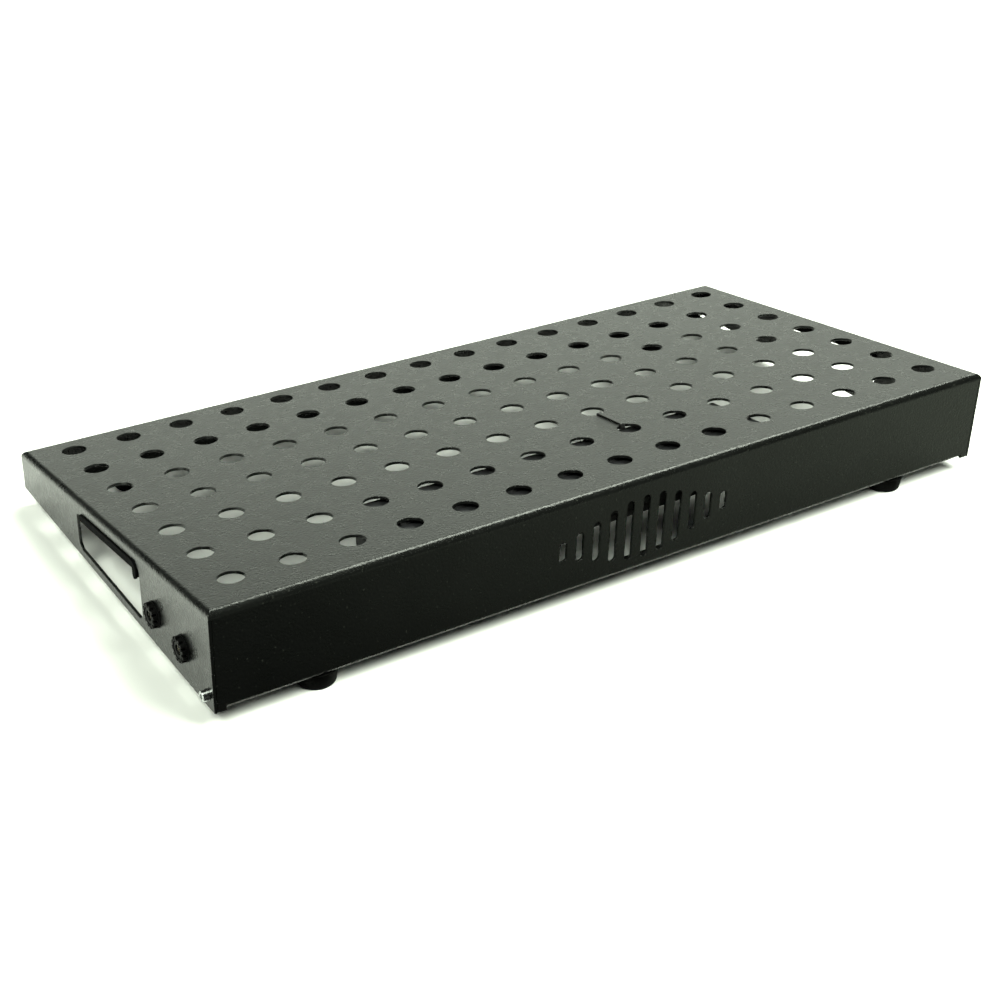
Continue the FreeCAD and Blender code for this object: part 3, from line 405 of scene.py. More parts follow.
def add_sheet(bm, outline, holes, at, thickness=SHEET, creases=(), seam=None, edge=EDGE_ROUND,
              edge_steps=3):
    """A plate with softened cut edges. at(u, v, depth) says where a point of the flat blank goes."""
    loops = [split_at(oriented(outline, True), creases)] + [oriented(hole, False) for hole in holes]
    turns = [math.pi / 2 * k / edge_steps for k in range(edge_steps + 1)]
    near = [(1 - math.sin(a), edge * (1 - math.cos(a))) for a in turns]
    rows = near + [(share, thickness - depth) for share, depth in reversed(near)]
    points, edges, tops, bottoms = [], [], [], []
    for index, loop in enumerate(loops):
        moves = inset_vectors(loop, edge, seam if index == 0 else None)
        rings = [[bm.verts.new(at(*(p + move * share), depth) * MM) for p, move in zip(loop, moves)]
                 for share, depth in rows]
        for ring, lower in zip(rings, rings[1:]):
            for k in range(len(loop)):
                after = (k + 1) % len(loop)
                bm.faces.new((ring[k], lower[k], lower[after], ring[after]))
        start = len(points)
        points += [p + move for p, move in zip(loop, moves)]
        edges += [(start + k, start + (k + 1) % len(loop)) for k in range(len(loop))]
        tops += rings[0]
        bottoms += rings[-1]
    for crease in creases:
        ends = sorted((k for k, p in enumerate(loops[0]) if abs(p.y - crease) < TINY),
                      key=lambda k: points[k].x)
        edges += list(zip(ends[0::2], ends[1::2]))
    flat, _, faces, sources, _, _ = delaunay_2d_cdt(points, edges, [], 0, 1e-7)
    outer = points[:len(loops[0])]
    gaps = []
    begin = len(loops[0])
    for loop in loops[1:]:
        gap = points[begin:begin + len(loop)]
        gaps.append((gap, loop_box(gap)))
        begin += len(loop)
    for face in faces:
        middle = (flat[face[0]] + flat[face[1]] + flat[face[2]]) / 3
        if not inside(middle, outer) or in_some(middle, gaps):
            continue
        own = [sources[k][0] for k in face]
        bm.faces.new([tops[k] for k in own])
        bm.faces.new([bottoms[k] for k in reversed(own)])


def add_lathe(bm, profile, place, axis, segments=48, closed=False):
    """Turns (radius, height) points about an axis. Either may be a function of the turn's share."""
    axis = Vector(axis).normalized()
    spin = axis.to_track_quat("Z", "Y")
    rings = []
    for radius, height in profile:
        if radius == 0:
            rings.append([bm.verts.new((place + axis * height) * MM)])
            continue
        ring = []
        for k in range(segments):
            share = k / segments
            r = radius(share) if callable(radius) else radius
            h = height(share) if callable(height) else height
            spot = Vector((r * math.cos(TAU * share), r * math.sin(TAU * share), h))
            ring.append(bm.verts.new((place + spin @ spot) * MM))
        rings.append(ring)
    pairs = list(zip(rings, rings[1:])) + ([(rings[-1], rings[0])] if closed else [])
    for first, second in pairs:
        for k in range(segments):
            after = (k + 1) % segments
            if len(first) == 1:
                bm.faces.new((first[0], second[k], second[after]))
            elif len(second) == 1:
                bm.faces.new((first[k], second[0], first[after]))
            else:
                bm.faces.new((first[k], second[k], second[after], first[after]))


def add_sweep(bm, path, across, section, closed=False, swell=None, middle=0.0):
    """Carries a closed section along a path in one plane. Section points are (off path, across)."""
    rings = []
    last = len(path) - 1
    for k, here in enumerate(path):
        before = path[k - 1] if k or closed else here
        after = path[(k + 1) % len(path)] if k < last or closed else here
        off = across.cross((after - before).normalized())
        share = swell(k) if swell else 1.0
        rings.append([bm.verts.new((here + off * (middle + (a - middle) * share) + across * b) * MM)
                      for a, b in section])
    pairs = list(zip(rings, rings[1:])) + ([(rings[-1], rings[0])] if closed else [])
    for first, second in pairs:
        for k in range(len(section)):
            after = (k + 1) % len(section)
            bm.faces.new((first[k], second[k], second[after], first[after]))
    if not closed:
        bm.faces.new(rings[0])
        bm.faces.new(rings[-1])


def on_deck(x, down, off):
    return DECK_ORIGIN + X * x + DOWNHILL * down + OFF_DECK * off


def deck_height(y, below):
    return DECK_TOP - (y - TALL_FACE) * math.tan(TILT) - below / math.cos(TILT)


def hole_place(column, row):
    return LEFT + FIRST_COLUMN + column * COLUMN_PITCH, FIRST_ROW + row * ROW_PITCH


def foot_places():
    names = ("foot_tall_left", "foot_low_left", "foot_tall_right", "foot_low_right")
    for name in names:
        low, high = mm_box(name)
        yield name, (low.x + high.x) / 2, (low.y + high.y) / 2


# ---- the folded chassis ----

def bend_marks(begin, angle):
    """Where a bend that begins here is creased, so that it turns in even steps."""
    return [begin + BEND_RADIUS * angle * k / BEND_STEPS for k in range(BEND_STEPS + 1)]


def folded(runs, start, heading, out, along):
    """A map from the flat blank to the bent sheet. Runs are (length, 0) flats or (0, angle) bends."""
    marks = []
    begin = 0.0
    for length, angle in runs:
        marks.append((begin, start, heading, out, angle))
        begin += length or BEND_RADIUS * angle
        if angle:
            centre = start - out * BEND_RADIUS
            heading, out = (heading * math.cos(angle) - out * math.sin(angle),
                            out * math.cos(angle) + heading * math.sin(angle))
            start = centre + out * BEND_RADIUS
        else:
            start = start + heading * length

    def at(u, v, depth):
        begin, place, forward, normal, angle = [mark for mark in marks if mark[0] <= v + TINY][-1]
        if not angle:
            return along * u + place + forward * (v - begin) - normal * depth
        turned = (v - begin) / BEND_RADIUS
        facing = normal * math.cos(turned) + forward * math.sin(turned)
        return along * u + place - normal * BEND_RADIUS + facing * (BEND_RADIUS - depth)

    return at


def make_deck():
    bm = bmesh.new()
    outline = rectangle((LEFT + BEND_RADIUS, TALL_TANGENT), (RIGHT - BEND_RADIUS, SLOPE_LENGTH - LOW_TANGENT))
    holes = [circle(*hole_place(column, row), HOLE_RADIUS, 64)
             for column in range(HOLE_COLUMNS) for row in range(HOLE_ROWS)]
    add_sheet(bm, outline, holes, lambda u, v, depth: on_deck(u, v, -depth), seam=lambda a, b: True)
    make_piece("deck", bm, "powder_coat", ["deck_panel"])


def bar_slots(wall_height):
    """The row of upright slots, as (x, height above the base) loops."""
    middle = (BAR_COUNT - 1) / 2
    for k in range(BAR_COUNT):
        swell = math.cos(math.pi / 2 * (k - middle) / (middle + 1)) ** 2
        half = BAR_TALLEST * (BAR_SHORTEST_SHARE + (1 - BAR_SHORTEST_SHARE) * swell) / 2
        x = (LEFT + RIGHT) / 2 + (k - middle) * BAR_PITCH
        z = wall_height(BAR_CENTRE_HEIGHT)
        yield rectangle((x - BAR_WIDTH / 2, z - half), (x + BAR_WIDTH / 2, z + half),
                        BAR_WIDTH / 2 - 0.01, steps=8)


def mitre_line(angle):
    """How far a bend runs past its tangent point to meet the bend across the corner, over its arc."""
    for k in range(MITRE_STEPS + 1):
        turn = angle * k / MITRE_STEPS
        yield BEND_RADIUS * math.sin(turn), BEND_RADIUS * turn


def make_long_wall(name, face, inward, height):
    bm = bmesh.new()
    angle = math.pi / 2 + inward * TILT
    tangent = BEND_RADIUS * math.tan(angle / 2)
    flat = height - tangent - BEND_RADIUS
    top_end = BEND_RADIUS * angle
    low_begin = top_end + flat
    flange_begin = low_begin + BEND_RADIUS * math.pi / 2
    flange_end = flange_begin + FLANGE_DEPTH - BEND_RADIUS
    tab_end = flange_end + FOOT_TAB_DEPTH - FLANGE_DEPTH
    slope = DOWNHILL if inward > 0 else -DOWNHILL
    top = Vector((0, face, BASE + height))
    at = folded([(0, angle), (flat, 0), (0, math.pi / 2), (tab_end - flange_begin, 0)],
                top + slope * tangent, -slope, OFF_DECK, X)
    low_u, high_u = LEFT + SHEET + SEAM, RIGHT - SHEET - SEAM
    cut_low, cut_high = LEFT + FLANGE_END_GAP, RIGHT - FLANGE_END_GAP
    feet = sorted(x for _, x, y in foot_places() if abs(y - face) < FOOT_TAB_DEPTH)
    tab = FOOT_TAB_WIDTH / 2
    mitre = list(mitre_line(min(angle, math.pi / 2)))
    mitre_end = mitre[-1][1] + SEAM
    outline = [(RIGHT - BEND_RADIUS + reach, along) for reach, along in mitre]
    outline += [(high_u, mitre_end), (high_u, low_begin), (cut_high, low_begin), (cut_high, flange_end)]
    for x in reversed(feet):
        outline += [(x + tab, flange_end), (x + tab, tab_end), (x - tab, tab_end), (x - tab, flange_end)]
    outline += [(cut_low, flange_end), (cut_low, low_begin), (low_u, low_begin), (low_u, mitre_end)]
    outline += [(LEFT + BEND_RADIUS - reach, along) for reach, along in reversed(mitre)]

    def seam(a, b):
        return max(a.y, b.y) < mitre_end + SEAM or max(abs(a.y - low_begin), abs(b.y - low_begin)) < TINY

    foot_from_wall = min(abs(y - face) for _, x, y in foot_places())
    holes = [circle(x, flange_begin + foot_from_wall - BEND_RADIUS, M4_HOLE_RADIUS) for x in feet]
    if inward > 0:
        holes += list(bar_slots(lambda above: low_begin - (above - BEND_RADIUS)))
    add_sheet(bm, [Vector(p) for p in outline], holes, at, seam=seam,
              creases=bend_marks(0, angle)[1:] + bend_marks(low_begin, math.pi / 2)[:-1] + [flange_begin])
    for low, high in ((low_u, cut_low), (cut_high, high_u)):
        patch = rectangle((low, BASE), (high, BASE + BEND_RADIUS))
        add_sheet(bm, patch, [], lambda u, v, depth: Vector((u, face + inward * depth, v)),
                  seam=lambda a, b: min(a.y, b.y) > BASE + 1)
    if inward > 0:
        corner_y, corner_z = screw_axis()
        for x, away in ((low_u, 1), (high_u, -1)):
            tab_outline = rectangle((TALL_FACE + SHEET / 2, BASE + CORNER_TAB_LOW),
                                    (TALL_FACE + CORNER_TAB_REACH, BASE + CORNER_TAB_HIGH), CORNER_TAB_ROUND)
            add_sheet(bm, tab_outline, [circle(corner_y, corner_z, M4_HOLE_RADIUS)],
                      lambda u, v, depth, x=x, away=away: Vector((x + away * depth, u, v)))
    make_piece(name + "_shell", bm, "powder_coat", [name])


def screw_axis():
    low, high = mm_box("corner_screws")
    return (low.y + high.y) / 2, (low.z + high.z) / 2


def slot_line(steps=10):
    """Outline of a handle slot as (y, z), from its near top corner round by the low wall."""
    near, far = TALL_FACE + SLOT_NEAR, TALL_FACE + SLOT_FAR
    sill = BASE + SLOT_SILL
    points = [(near, sill), (far, sill), (far, deck_height(far, SLOT_UNDER_DECK)),
              (near, deck_height(near, SLOT_UNDER_DECK))]
    return rounded(points, [SLOT_LOW_ROUND, SLOT_LOW_ROUND, SLOT_HIGH_ROUND, SLOT_HIGH_ROUND], steps=steps)


def jack_places():
    for name in ("input", "output"):
        low, high = mm_box(name + "_jack_nut")
        yield name, (low.y + high.y) / 2, (low.z + high.z) / 2


def make_side_wall(name, outer, inward):
    bm = bmesh.new()
    bend = BEND_RADIUS * math.pi / 2
    at = folded([(0, math.pi / 2), (2 * DECK_TOP, 0)], DECK_ORIGIN + X * (outer + inward * BEND_RADIUS),
                X * -inward, OFF_DECK, DOWNHILL)

    def blank(y, z):
        """Where a point of the upright face is on the flat blank."""
        rise = Vector((0, y, z)) - DECK_ORIGIN
        return Vector((rise.dot(DOWNHILL), bend - BEND_RADIUS - rise.dot(OFF_DECK)))

    near_mitre = [Vector((TALL_TANGENT - reach, along)) for reach, along in mitre_line(math.pi / 2)]
    outline = [Vector((SLOPE_LENGTH - LOW_TANGENT + reach, along))
               for reach, along in mitre_line(math.pi / 2 - TILT)]
    outline += [blank(LOW_FACE, deck_height(LOW_FACE, BEND_RADIUS)), blank(LOW_FACE, BASE),
                blank(TALL_FACE, BASE), blank(TALL_FACE, deck_height(TALL_FACE, BEND_RADIUS))]
    outline += reversed(near_mitre)
    holes = [[blank(*p) for p in slot_line()],
             [blank(*p) for p in circle(*screw_axis(), M4_HOLE_RADIUS)]]
    if inward > 0:
        holes += [[blank(*p) for p in circle(y, z, BUSH_HOLE_RADIUS)] for _, y, z in jack_places()]
    add_sheet(bm, outline, holes, at, creases=bend_marks(0, math.pi / 2)[1:],
              seam=lambda a, b: max(a.y, b.y) < bend + TINY)
    make_piece(name + "_shell", bm, "powder_coat", [name])


def make_trim(name, outer, inward):
    """Rubber channel along the slot's top edge, with its end near the tall wall hanging free."""
    bm = bmesh.new()
    end_round = (TRIM_GRIP + TRIM_LIP) / 2
    leg = TALL_FACE + SLOT_NEAR + TRIM_FREE_GAP + TRIM_GRIP
    far = TALL_FACE + SLOT_FAR - TRIM_FAR_GAP - end_round
    run = rounded([(leg, BASE + TRIM_TAIL + end_round), (leg, deck_height(leg, SLOT_UNDER_DECK)),
                   (far, deck_height(far, SLOT_UNDER_DECK))],
                  [0.0, TRIM_CORNER_ROUND - TRIM_GRIP, 0.0], steps=12)
    path, swells, lengths = [], [], [0.0]
    for a, b in zip(run, run[1:]):
        lengths.append(lengths[-1] + (b - a).length)

    def along(distance):
        distance = max(0.0, min(lengths[-1], distance))
        for k in range(1, len(lengths)):
            if distance <= lengths[k]:
                step = lengths[k] - lengths[k - 1]
                return run[k - 1].lerp(run[k], (distance - lengths[k - 1]) / step)
        return run[-1]

    ends = [end_round * (1 - math.cos(math.pi / 2 * k / 6)) for k in range(7)]
    first, last = -end_round, lengths[-1] + end_round
    stops = [first + e for e in ends] + lengths[1:-1] + [last - e for e in reversed(ends)]
    for distance in stops:
        spot = along(distance)
        if distance < 0:
            spot = run[0] + (run[0] - run[1]).normalized() * -distance
        if distance > lengths[-1]:
            spot = run[-1] + (run[-1] - run[-2]).normalized() * (distance - lengths[-1])
        path.append(Vector((outer, spot.x, spot.y)))
        gone = min(distance - first, last - distance)
        swells.append(max(0.12, math.sqrt(max(0.0, 1 - max(0.0, 1 - gone / end_round) ** 2))))
    low, high = -TRIM_SIDE, SHEET + TRIM_SIDE
    # off is across x forward: positive towards the wall's metal when across points inward
    section = rounded([(TRIM_GRIP, low), (-TRIM_LIP, low), (-TRIM_LIP, high), (TRIM_GRIP, high),
                       (TRIM_GRIP, SHEET), (0.0, SHEET), (0.0, 0.0), (TRIM_GRIP, 0.0)],
                      [0.6, 1.3, 1.3, 0.6, 0.0, 0.0, 0.0, 0.0], steps=5)
    across = X * inward
    sample = across.cross((path[8] - path[7]).normalized())
    flip = 1 if sample.y < 0 or sample.z > 0 else -1
    add_sweep(bm, path, across, [(a * flip, b) for a, b in section], swell=lambda k: swells[k],
              middle=flip * (TRIM_GRIP - TRIM_LIP) / 2)
    make_piece(name + "_channel", bm, "trim_rubber", [name])


# ---- feet and fasteners ----

def hexagon(flats):
    """The radius of a hexagon, as a function of the share of a turn."""
    return lambda share: flats / 2 / math.cos((share * TAU + math.pi / 6) % (math.pi / 3) - math.pi / 6)


def thread(radius, pitch, begin, end, depth=0.32, steps=6):
    """Profile points of a helical thread from one height to another."""
    count = max(2, round((end - begin) / pitch * steps))
    for k in range(count + 1):
        height = begin + (end - begin) * k / count
        fade = min(1.0, k / steps, (count - k) / steps)

        def ridge(share, height=height, fade=fade):
            return radius - depth * fade * abs(2 * ((height / pitch + share) % 1) - 1)

        yield ridge, height


def add_screw(bm, base, direction, length, head_radius=HEAD_RADIUS, head_height=HEAD_HEIGHT,
              radius=M4_RADIUS, pitch=0.7, flats=2.5, recess=1.4, dome=1.2):
    """Button-head screw with a hexagon recess: base is the head's bearing centre."""
    top = -head_height
    arc = [(head_radius - dome * (1 - math.sin(a)), top + dome * (1 - math.cos(a)))
           for a in (math.pi / 2 * k / 6 for k in range(7))]
    profile = [(0, top + recess + 0.25), (hexagon(flats * 0.98), top + recess),
               (hexagon(flats), top + 0.18), (hexagon(flats + 0.36), top)]
    profile += arc + [(head_radius, -0.2), (head_radius - 0.2, 0.0), (radius, 0.0)]
    profile += list(thread(radius, pitch, 0.6, length - 0.6)) + [(radius - 0.55, length), (0, length)]
    add_lathe(bm, profile, base, direction)


def add_nut(bm, base, direction):
    """Hexagon nut, chamfered top and bottom, with a plain bore."""
    six = hexagon(M4_FLATS)
    rim = M4_FLATS / 2 * 0.97

    def drop(share):
        return (six(share) - rim) * math.tan(math.radians(30))

    bore = M4_RADIUS + 0.03
    profile = [(bore, 0.3), (bore + 0.3, 0.0), (rim, 0.0), (six, drop),
               (six, lambda share: M4_NUT_HEIGHT - drop(share)), (rim, M4_NUT_HEIGHT),
               (bore + 0.3, M4_NUT_HEIGHT), (bore, M4_NUT_HEIGHT - 0.3)]
    add_lathe(bm, profile, base, direction, closed=True)


def add_washer(bm, base, direction, outer, bore, thickness):
    soft = min(0.15, thickness / 3)
    profile = [(bore, soft), (bore + soft, 0), (outer - soft, 0), (outer, soft),
               (outer, thickness - soft), (outer - soft, thickness), (bore + soft, thickness),
               (bore, thickness - soft)]
    add_lathe(bm, profile, base, direction, closed=True)


def make_feet():
    for name, x, y in foot_places():
        bm = bmesh.new()
        edge = FOOT_EDGE_ROUND
        lean = math.atan2(FOOT_TOP_RADIUS - FOOT_BOTTOM_RADIUS, FOOT_HEIGHT)
        turn = math.pi / 2 - lean
        reach = edge * math.tan(turn / 2)
        centre = (FOOT_BOTTOM_RADIUS - reach, edge)
        arc = [(centre[0] + edge * math.sin(turn * k / 8), centre[1] - edge * math.cos(turn * k / 8))
               for k in range(9)]
        profile = [(M4_HOLE_RADIUS, RECESS_DEPTH), (RECESS_RADIUS, RECESS_DEPTH), (RECESS_RADIUS, 0.5),
                   (RECESS_RADIUS + 0.15, 0.15), (RECESS_RADIUS + 0.5, 0)]
        for ring in (6.9, 8.4):
            profile += [(ring, 0), (ring + 0.15, 0.35), (ring + 0.45, 0.35), (ring + 0.6, 0)]
        profile += arc
        profile += [(FOOT_TOP_RADIUS - narrower, FOOT_HEIGHT - lower)
                    for narrower, lower in ((0.42, 1.4), (0.12, 1.2), (0, 0.9), (0, 0.25), (0.25, 0))]
        profile.append((M4_HOLE_RADIUS, FOOT_HEIGHT))
        add_lathe(bm, profile, Vector((x, y, 0)), Z, segments=72, closed=True)
        make_piece(name + "_rubber", bm, "foot_rubber", [name])


def make_fasteners():
    washers, screws, nuts = bmesh.new(), bmesh.new(), bmesh.new()
    seat = RECESS_DEPTH - FOOT_WASHER_THICKNESS
    for _, x, y in foot_places():
        add_washer(washers, Vector((x, y, seat)), Z, HEAD_RADIUS + FOOT_WASHER_MARGIN, M4_HOLE_RADIUS,
                   FOOT_WASHER_THICKNESS)
        add_screw(screws, Vector((x, y, seat)), Z, FOOT_SCREW_LENGTH)
        add_nut(nuts, Vector((x, y, BASE + SHEET)), Z)
    make_piece("foot_washer_set", washers, "zinc_steel", ["foot_washers"])
    make_piece("foot_screw_set", screws, "zinc_steel", ["foot_screws"])
    make_piece("foot_nut_set", nuts, "zinc_steel", ["foot_nuts"])
    screws, nuts = bmesh.new(), bmesh.new()
    y, z = screw_axis()
    for face, inward in ((LEFT, 1), (RIGHT, -1)):
        add_screw(screws, Vector((face, y, z)), X * inward, CORNER_SCREW_LENGTH, CORNER_HEAD_RADIUS,
                  CORNER_HEAD_HEIGHT, dome=CORNER_HEAD_ROUND)
        add_nut(nuts, Vector((face + inward * (2 * SHEET + SEAM), y, z)), X * inward)
    make_piece("corner_screw_pair", screws, "zinc_steel", ["corner_screws"])
    make_piece("corner_nut_pair", nuts, "zinc_steel", ["corner_nuts"])


# ---- jack sockets ----

def make_jack(name, y, z):
    axis_front = Vector((LEFT, y, z))
    front = LEFT + SHEET
    rear = front + HOUSING_LENGTH
    half_y, half_z = HOUSING_WIDTH / 2, HOUSING_HEIGHT / 2

    def cross_section(x):
        return lambda u, v, depth: Vector((x + depth, y + u, z + v))

    bm = bmesh.new()
    shell = rectangle((-half_y, -half_z), (half_y, half_z), 1.2)
    hollow = rectangle((HOUSING_WALL - half_y, HOUSING_WALL - half_z),
                       (half_y - HOUSING_WALL, half_z - HOUSING_WALL), 0.6)
    add_sheet(bm, shell, [hollow], cross_section(front), HOUSING_LENGTH, edge=0.3)
    add_sheet(bm, hollow, [circle(0, 0, LINER_RADIUS)], cross_section(front), HOUSING_FRONT, edge=0.05)
    mouth = -BUSH_PROUD
    bush = [(LINER_RADIUS, mouth + BUSH_LIP), (PLUG_RADIUS, mouth + BUSH_LIP), (PLUG_RADIUS, mouth + 0.5),
            (PLUG_RADIUS + 0.15, mouth + 0.15), (PLUG_RADIUS + 0.5, mouth), (BUSH_RADIUS - 0.45, mouth)]
    bush += list(thread(BUSH_RADIUS, 1.0, mouth + 0.4, 1.6))
    bush += [(BUSH_RADIUS, SHEET), (LINER_RADIUS, SHEET)]
    add_lathe(bm, bush, axis_front, X, closed=True)
    make_piece(name + "_jack_housing", bm, "jack_plastic", [name + "_jack_body"])

    bm = bmesh.new()
    half_leaf = LEAF_WIDTH / 2 + LEAF_PLAY
    strip_low = -math.sqrt(LINER_RADIUS ** 2 - (STRIP_WIDTH / 2) ** 2) + 0.08
    leaf_gap = rectangle((-half_leaf, LEAF_HEIGHT - LEAF_PLAY),
                         (half_leaf, LEAF_HEIGHT + LEAF_THICKNESS + LEAF_PLAY), 0.2, steps=2)
    strip_gap = rectangle((-STRIP_WIDTH / 2, strip_low), (STRIP_WIDTH / 2, strip_low + STRIP_THICKNESS))
    add_sheet(bm, shell, [leaf_gap, strip_gap], cross_section(rear), CAP_THICKNESS, edge=0.12)
    make_piece(name + "_jack_rear", bm, "jack_plastic", [name + "_jack_cap"])

    bm = bmesh.new()
    height = NUT_PROUD - WASHER_THICKNESS

    def crown(share):
        step = share * NUT_NOTCHES % 1
        return NUT_NOTCH_DEPTH if min(step, 1 - step) < NUT_NOTCH_SHARE else 0.0

    bore = BUSH_RADIUS + 0.03
    ledge = BUSH_RADIUS + 0.5
    profile = [(bore, height - 0.3), (bore, 0.25), (bore + 0.18, 0.0), (ledge, 0.0),
               (ledge + 0.06, crown), (NUT_RADIUS - 0.3, crown),
               (NUT_RADIUS, lambda share: crown(share) + 0.3), (NUT_RADIUS, height - 0.3),
               (NUT_RADIUS - 0.3, height), (bore + 0.3, height)]
    add_lathe(bm, profile, axis_front - X * NUT_PROUD, X, segments=144, closed=True)
    make_piece(name + "_jack_ring", bm, "jack_plastic", [name + "_jack_nut"], sharp=30)

    bm = bmesh.new()
    add_washer(bm, axis_front - X * WASHER_THICKNESS, X, NUT_RADIUS + 0.4, BUSH_RADIUS + 0.1,
               WASHER_THICKNESS)
    make_piece(name + "_jack_seat", bm, "jack_plastic", [name + "_jack_washer"])

    bm = bmesh.new()
    wall = LINER_RADIUS - 0.02
    profile = [(PLUG_RADIUS, mouth + BUSH_LIP + 0.1), (PLUG_RADIUS + 0.1, mouth + BUSH_LIP),
               (wall, mouth + BUSH_LIP), (wall, 2 * SHEET), (PLUG_RADIUS, 2 * SHEET)]
    add_lathe(bm, profile, axis_front, X, closed=True)
    strip = rectangle((0, -STRIP_WIDTH / 2), (STRIP_THICKNESS, STRIP_WIDTH / 2), 0.1, steps=2)
    strip_end = rear + CAP_THICKNESS + LEAF_TAIL
    low = z + strip_low + STRIP_THICKNESS
    add_sweep(bm, [Vector((front + 0.1, y, low)), Vector((rear, y, low)), Vector((strip_end, y, low))],
              Y, strip)
    make_piece(name + "_sleeve", bm, "contact_metal", [name + "_sleeve_contact"])

    bm = bmesh.new()
    pivot = rear + CAP_THICKNESS / 2
    level = LEAF_HEIGHT + LEAF_THICKNESS
    dip_at = pivot - LEAF_REACH + 4
    line = rounded([(pivot + CAP_THICKNESS / 2 + LEAF_TAIL, level), (dip_at + 2.5, level),
                    (dip_at + 0.6, level - LEAF_DIP), (dip_at - 0.6, level - LEAF_DIP),
                    (dip_at - 2.5, level), (pivot - LEAF_REACH, level)],
                   [0, 0.9, 0.55, 0.55, 0.9, 0], closed=False)
    leaf = rectangle((0, -LEAF_WIDTH / 2), (LEAF_THICKNESS, LEAF_WIDTH / 2), 0.08, steps=2)
    # the path runs towards -X, so "off" points down from the leaf's upper face
    add_sweep(bm, [Vector((p.x, y, z + p.y)) for p in line], -Y, leaf)
    make_piece(name + "_tip_leaf_metal", bm, "contact_metal", [name + "_tip_spring"],
               body=name + "_tip_leaf")


# ---- power supply ----

def deck_box(node):
    """A node's span in deck coordinates: X, down the slope, off the deck."""
    corners = [v.co / MM - DECK_ORIGIN for v in frame["nodes"][node].data.vertices]
    spans = [[c.dot(axis) for c in corners] for axis in (X, DOWNHILL, OFF_DECK)]
    return [min(s) for s in spans], [max(s) for s in spans]


def make_supply():
    (left, near, bottom), (right, far, top) = deck_box("supply_shell")
    bm = bmesh.new()
    groove = 0.45

    def ribs(begin, end, count):
        """Shallow grooves between two points of one face, which keep the extrusion stiff."""
        begin, end = Vector(begin), Vector(end)
        along = (end - begin).normalized()
        inwards = Vector((-along.y, along.x))
        for k in range(count):
            centre = begin.lerp(end, (k + 0.5) / count)
            for offset, depth in ((-0.9, 0), (-0.6, groove), (0.6, groove), (0.9, 0)):
                yield centre + along * offset + inwards * depth

    soft = rectangle((near, bottom), (far, top), SUPPLY_ROUND, steps=6)
    corners = [soft[k * 7:(k + 1) * 7] for k in range(4)]
    outline = corners[0] + list(ribs((near + 6, bottom), (far - 6, bottom), 9))
    outline += corners[1] + list(ribs((far, bottom + 3), (far, bottom + 8), 2))
    outline += list(ribs((far, top - 8), (far, top - 3), 2))
    outline += corners[2] + corners[3]
    outline += list(ribs((near, top - 3), (near, bottom + 3), 5))
    hollow = rectangle((near + SUPPLY_WALL, bottom + SUPPLY_WALL),
                       (far - SUPPLY_WALL, top - SUPPLY_WALL), 0.8)
    add_sheet(bm, outline, [hollow], lambda u, v, depth: on_deck(left + depth, u, v), right - left,
              edge=0.12, edge_steps=2)
    make_piece("supply_extrusion", bm, "supply_paint", ["supply_shell"])

    heads = bmesh.new()
    for node, inward in (("supply_end_left", 1), ("supply_end_right", -1)):
        (x0, near, bottom), (x1, far, top) = deck_box(node)
        face = x0 if inward > 0 else x1
        bm = bmesh.new()
        plate = rectangle((near, bottom), (far, top), SUPPLY_ROUND)
        holes = []
        if inward < 0:
            holes.append(circle((near + far) / 2, (top + bottom) / 2, OUTLET_NECK))
        add_sheet(bm, plate, holes, lambda u, v, depth, face=face, inward=inward:
                  on_deck(face + inward * depth, u, v), edge=0.3)
        make_piece(node + "_plate", bm, "supply_paint", [node])
        for down in (near + SUPPLY_SCREW_INSET, far - SUPPLY_SCREW_INSET):
            for off in (bottom + SUPPLY_SCREW_INSET, top - SUPPLY_SCREW_INSET):
                add_screw(heads, on_deck(face, down, off), X * inward, 8.0, head_radius=2.7, head_height=1.8,
                          radius=1.27, pitch=0.5, flats=2.0, recess=1.0, dome=0.7)
    make_piece("supply_screw_set", heads, "zinc_steel", ["supply_end_screws"])

    def add_socket(bm, place, direction):
        neck = OUTLET_NECK - 0.05
        deep = OUTLET_DEPTH - 1.5 - OUTLET_PROUD
        profile = [(0, deep), (OUTLET_BORE, deep), (OUTLET_BORE, 0.4 - OUTLET_PROUD),
                   (OUTLET_BORE + 0.12, 0.12 - OUTLET_PROUD), (OUTLET_BORE + 0.4, -OUTLET_PROUD),
                   (OUTLET_FLANGE - 0.5, -OUTLET_PROUD), (OUTLET_FLANGE - 0.15, 0.15 - OUTLET_PROUD),
                   (OUTLET_FLANGE, 0.5 - OUTLET_PROUD), (OUTLET_FLANGE, 0), (neck, 0),
                   (neck, SUPPLY_END), (neck + 0.8, SUPPLY_END), (neck + 0.8, OUTLET_DEPTH),
                   (0, OUTLET_DEPTH)]
        add_lathe(bm, profile, place, direction)

    (x0, _, low), (x1, high_side, high) = deck_box("supply_outlets")
    outlets = bmesh.new()
    middle = (low + high) / 2
    face = high_side - OUTLET_PROUD
    first = x0 + OUTLET_FLANGE
    pitch = (x1 - x0 - 2 * OUTLET_FLANGE) / (OUTLET_COUNT - 1)
    for k in range(OUTLET_COUNT):
        add_socket(outlets, on_deck(first + k * pitch, face, middle), -DOWNHILL)
    make_piece("supply_outlet_set", outlets, "socket_plastic", ["supply_outlets"])
    (_, down0, off0), (x1, down1, off1) = deck_box("supply_inlet")
    inlet = bmesh.new()
    add_socket(inlet, on_deck(x1 - OUTLET_PROUD, (down0 + down1) / 2, (off0 + off1) / 2), -X)
    make_piece("supply_inlet_socket", inlet, "socket_plastic", ["supply_inlet"])


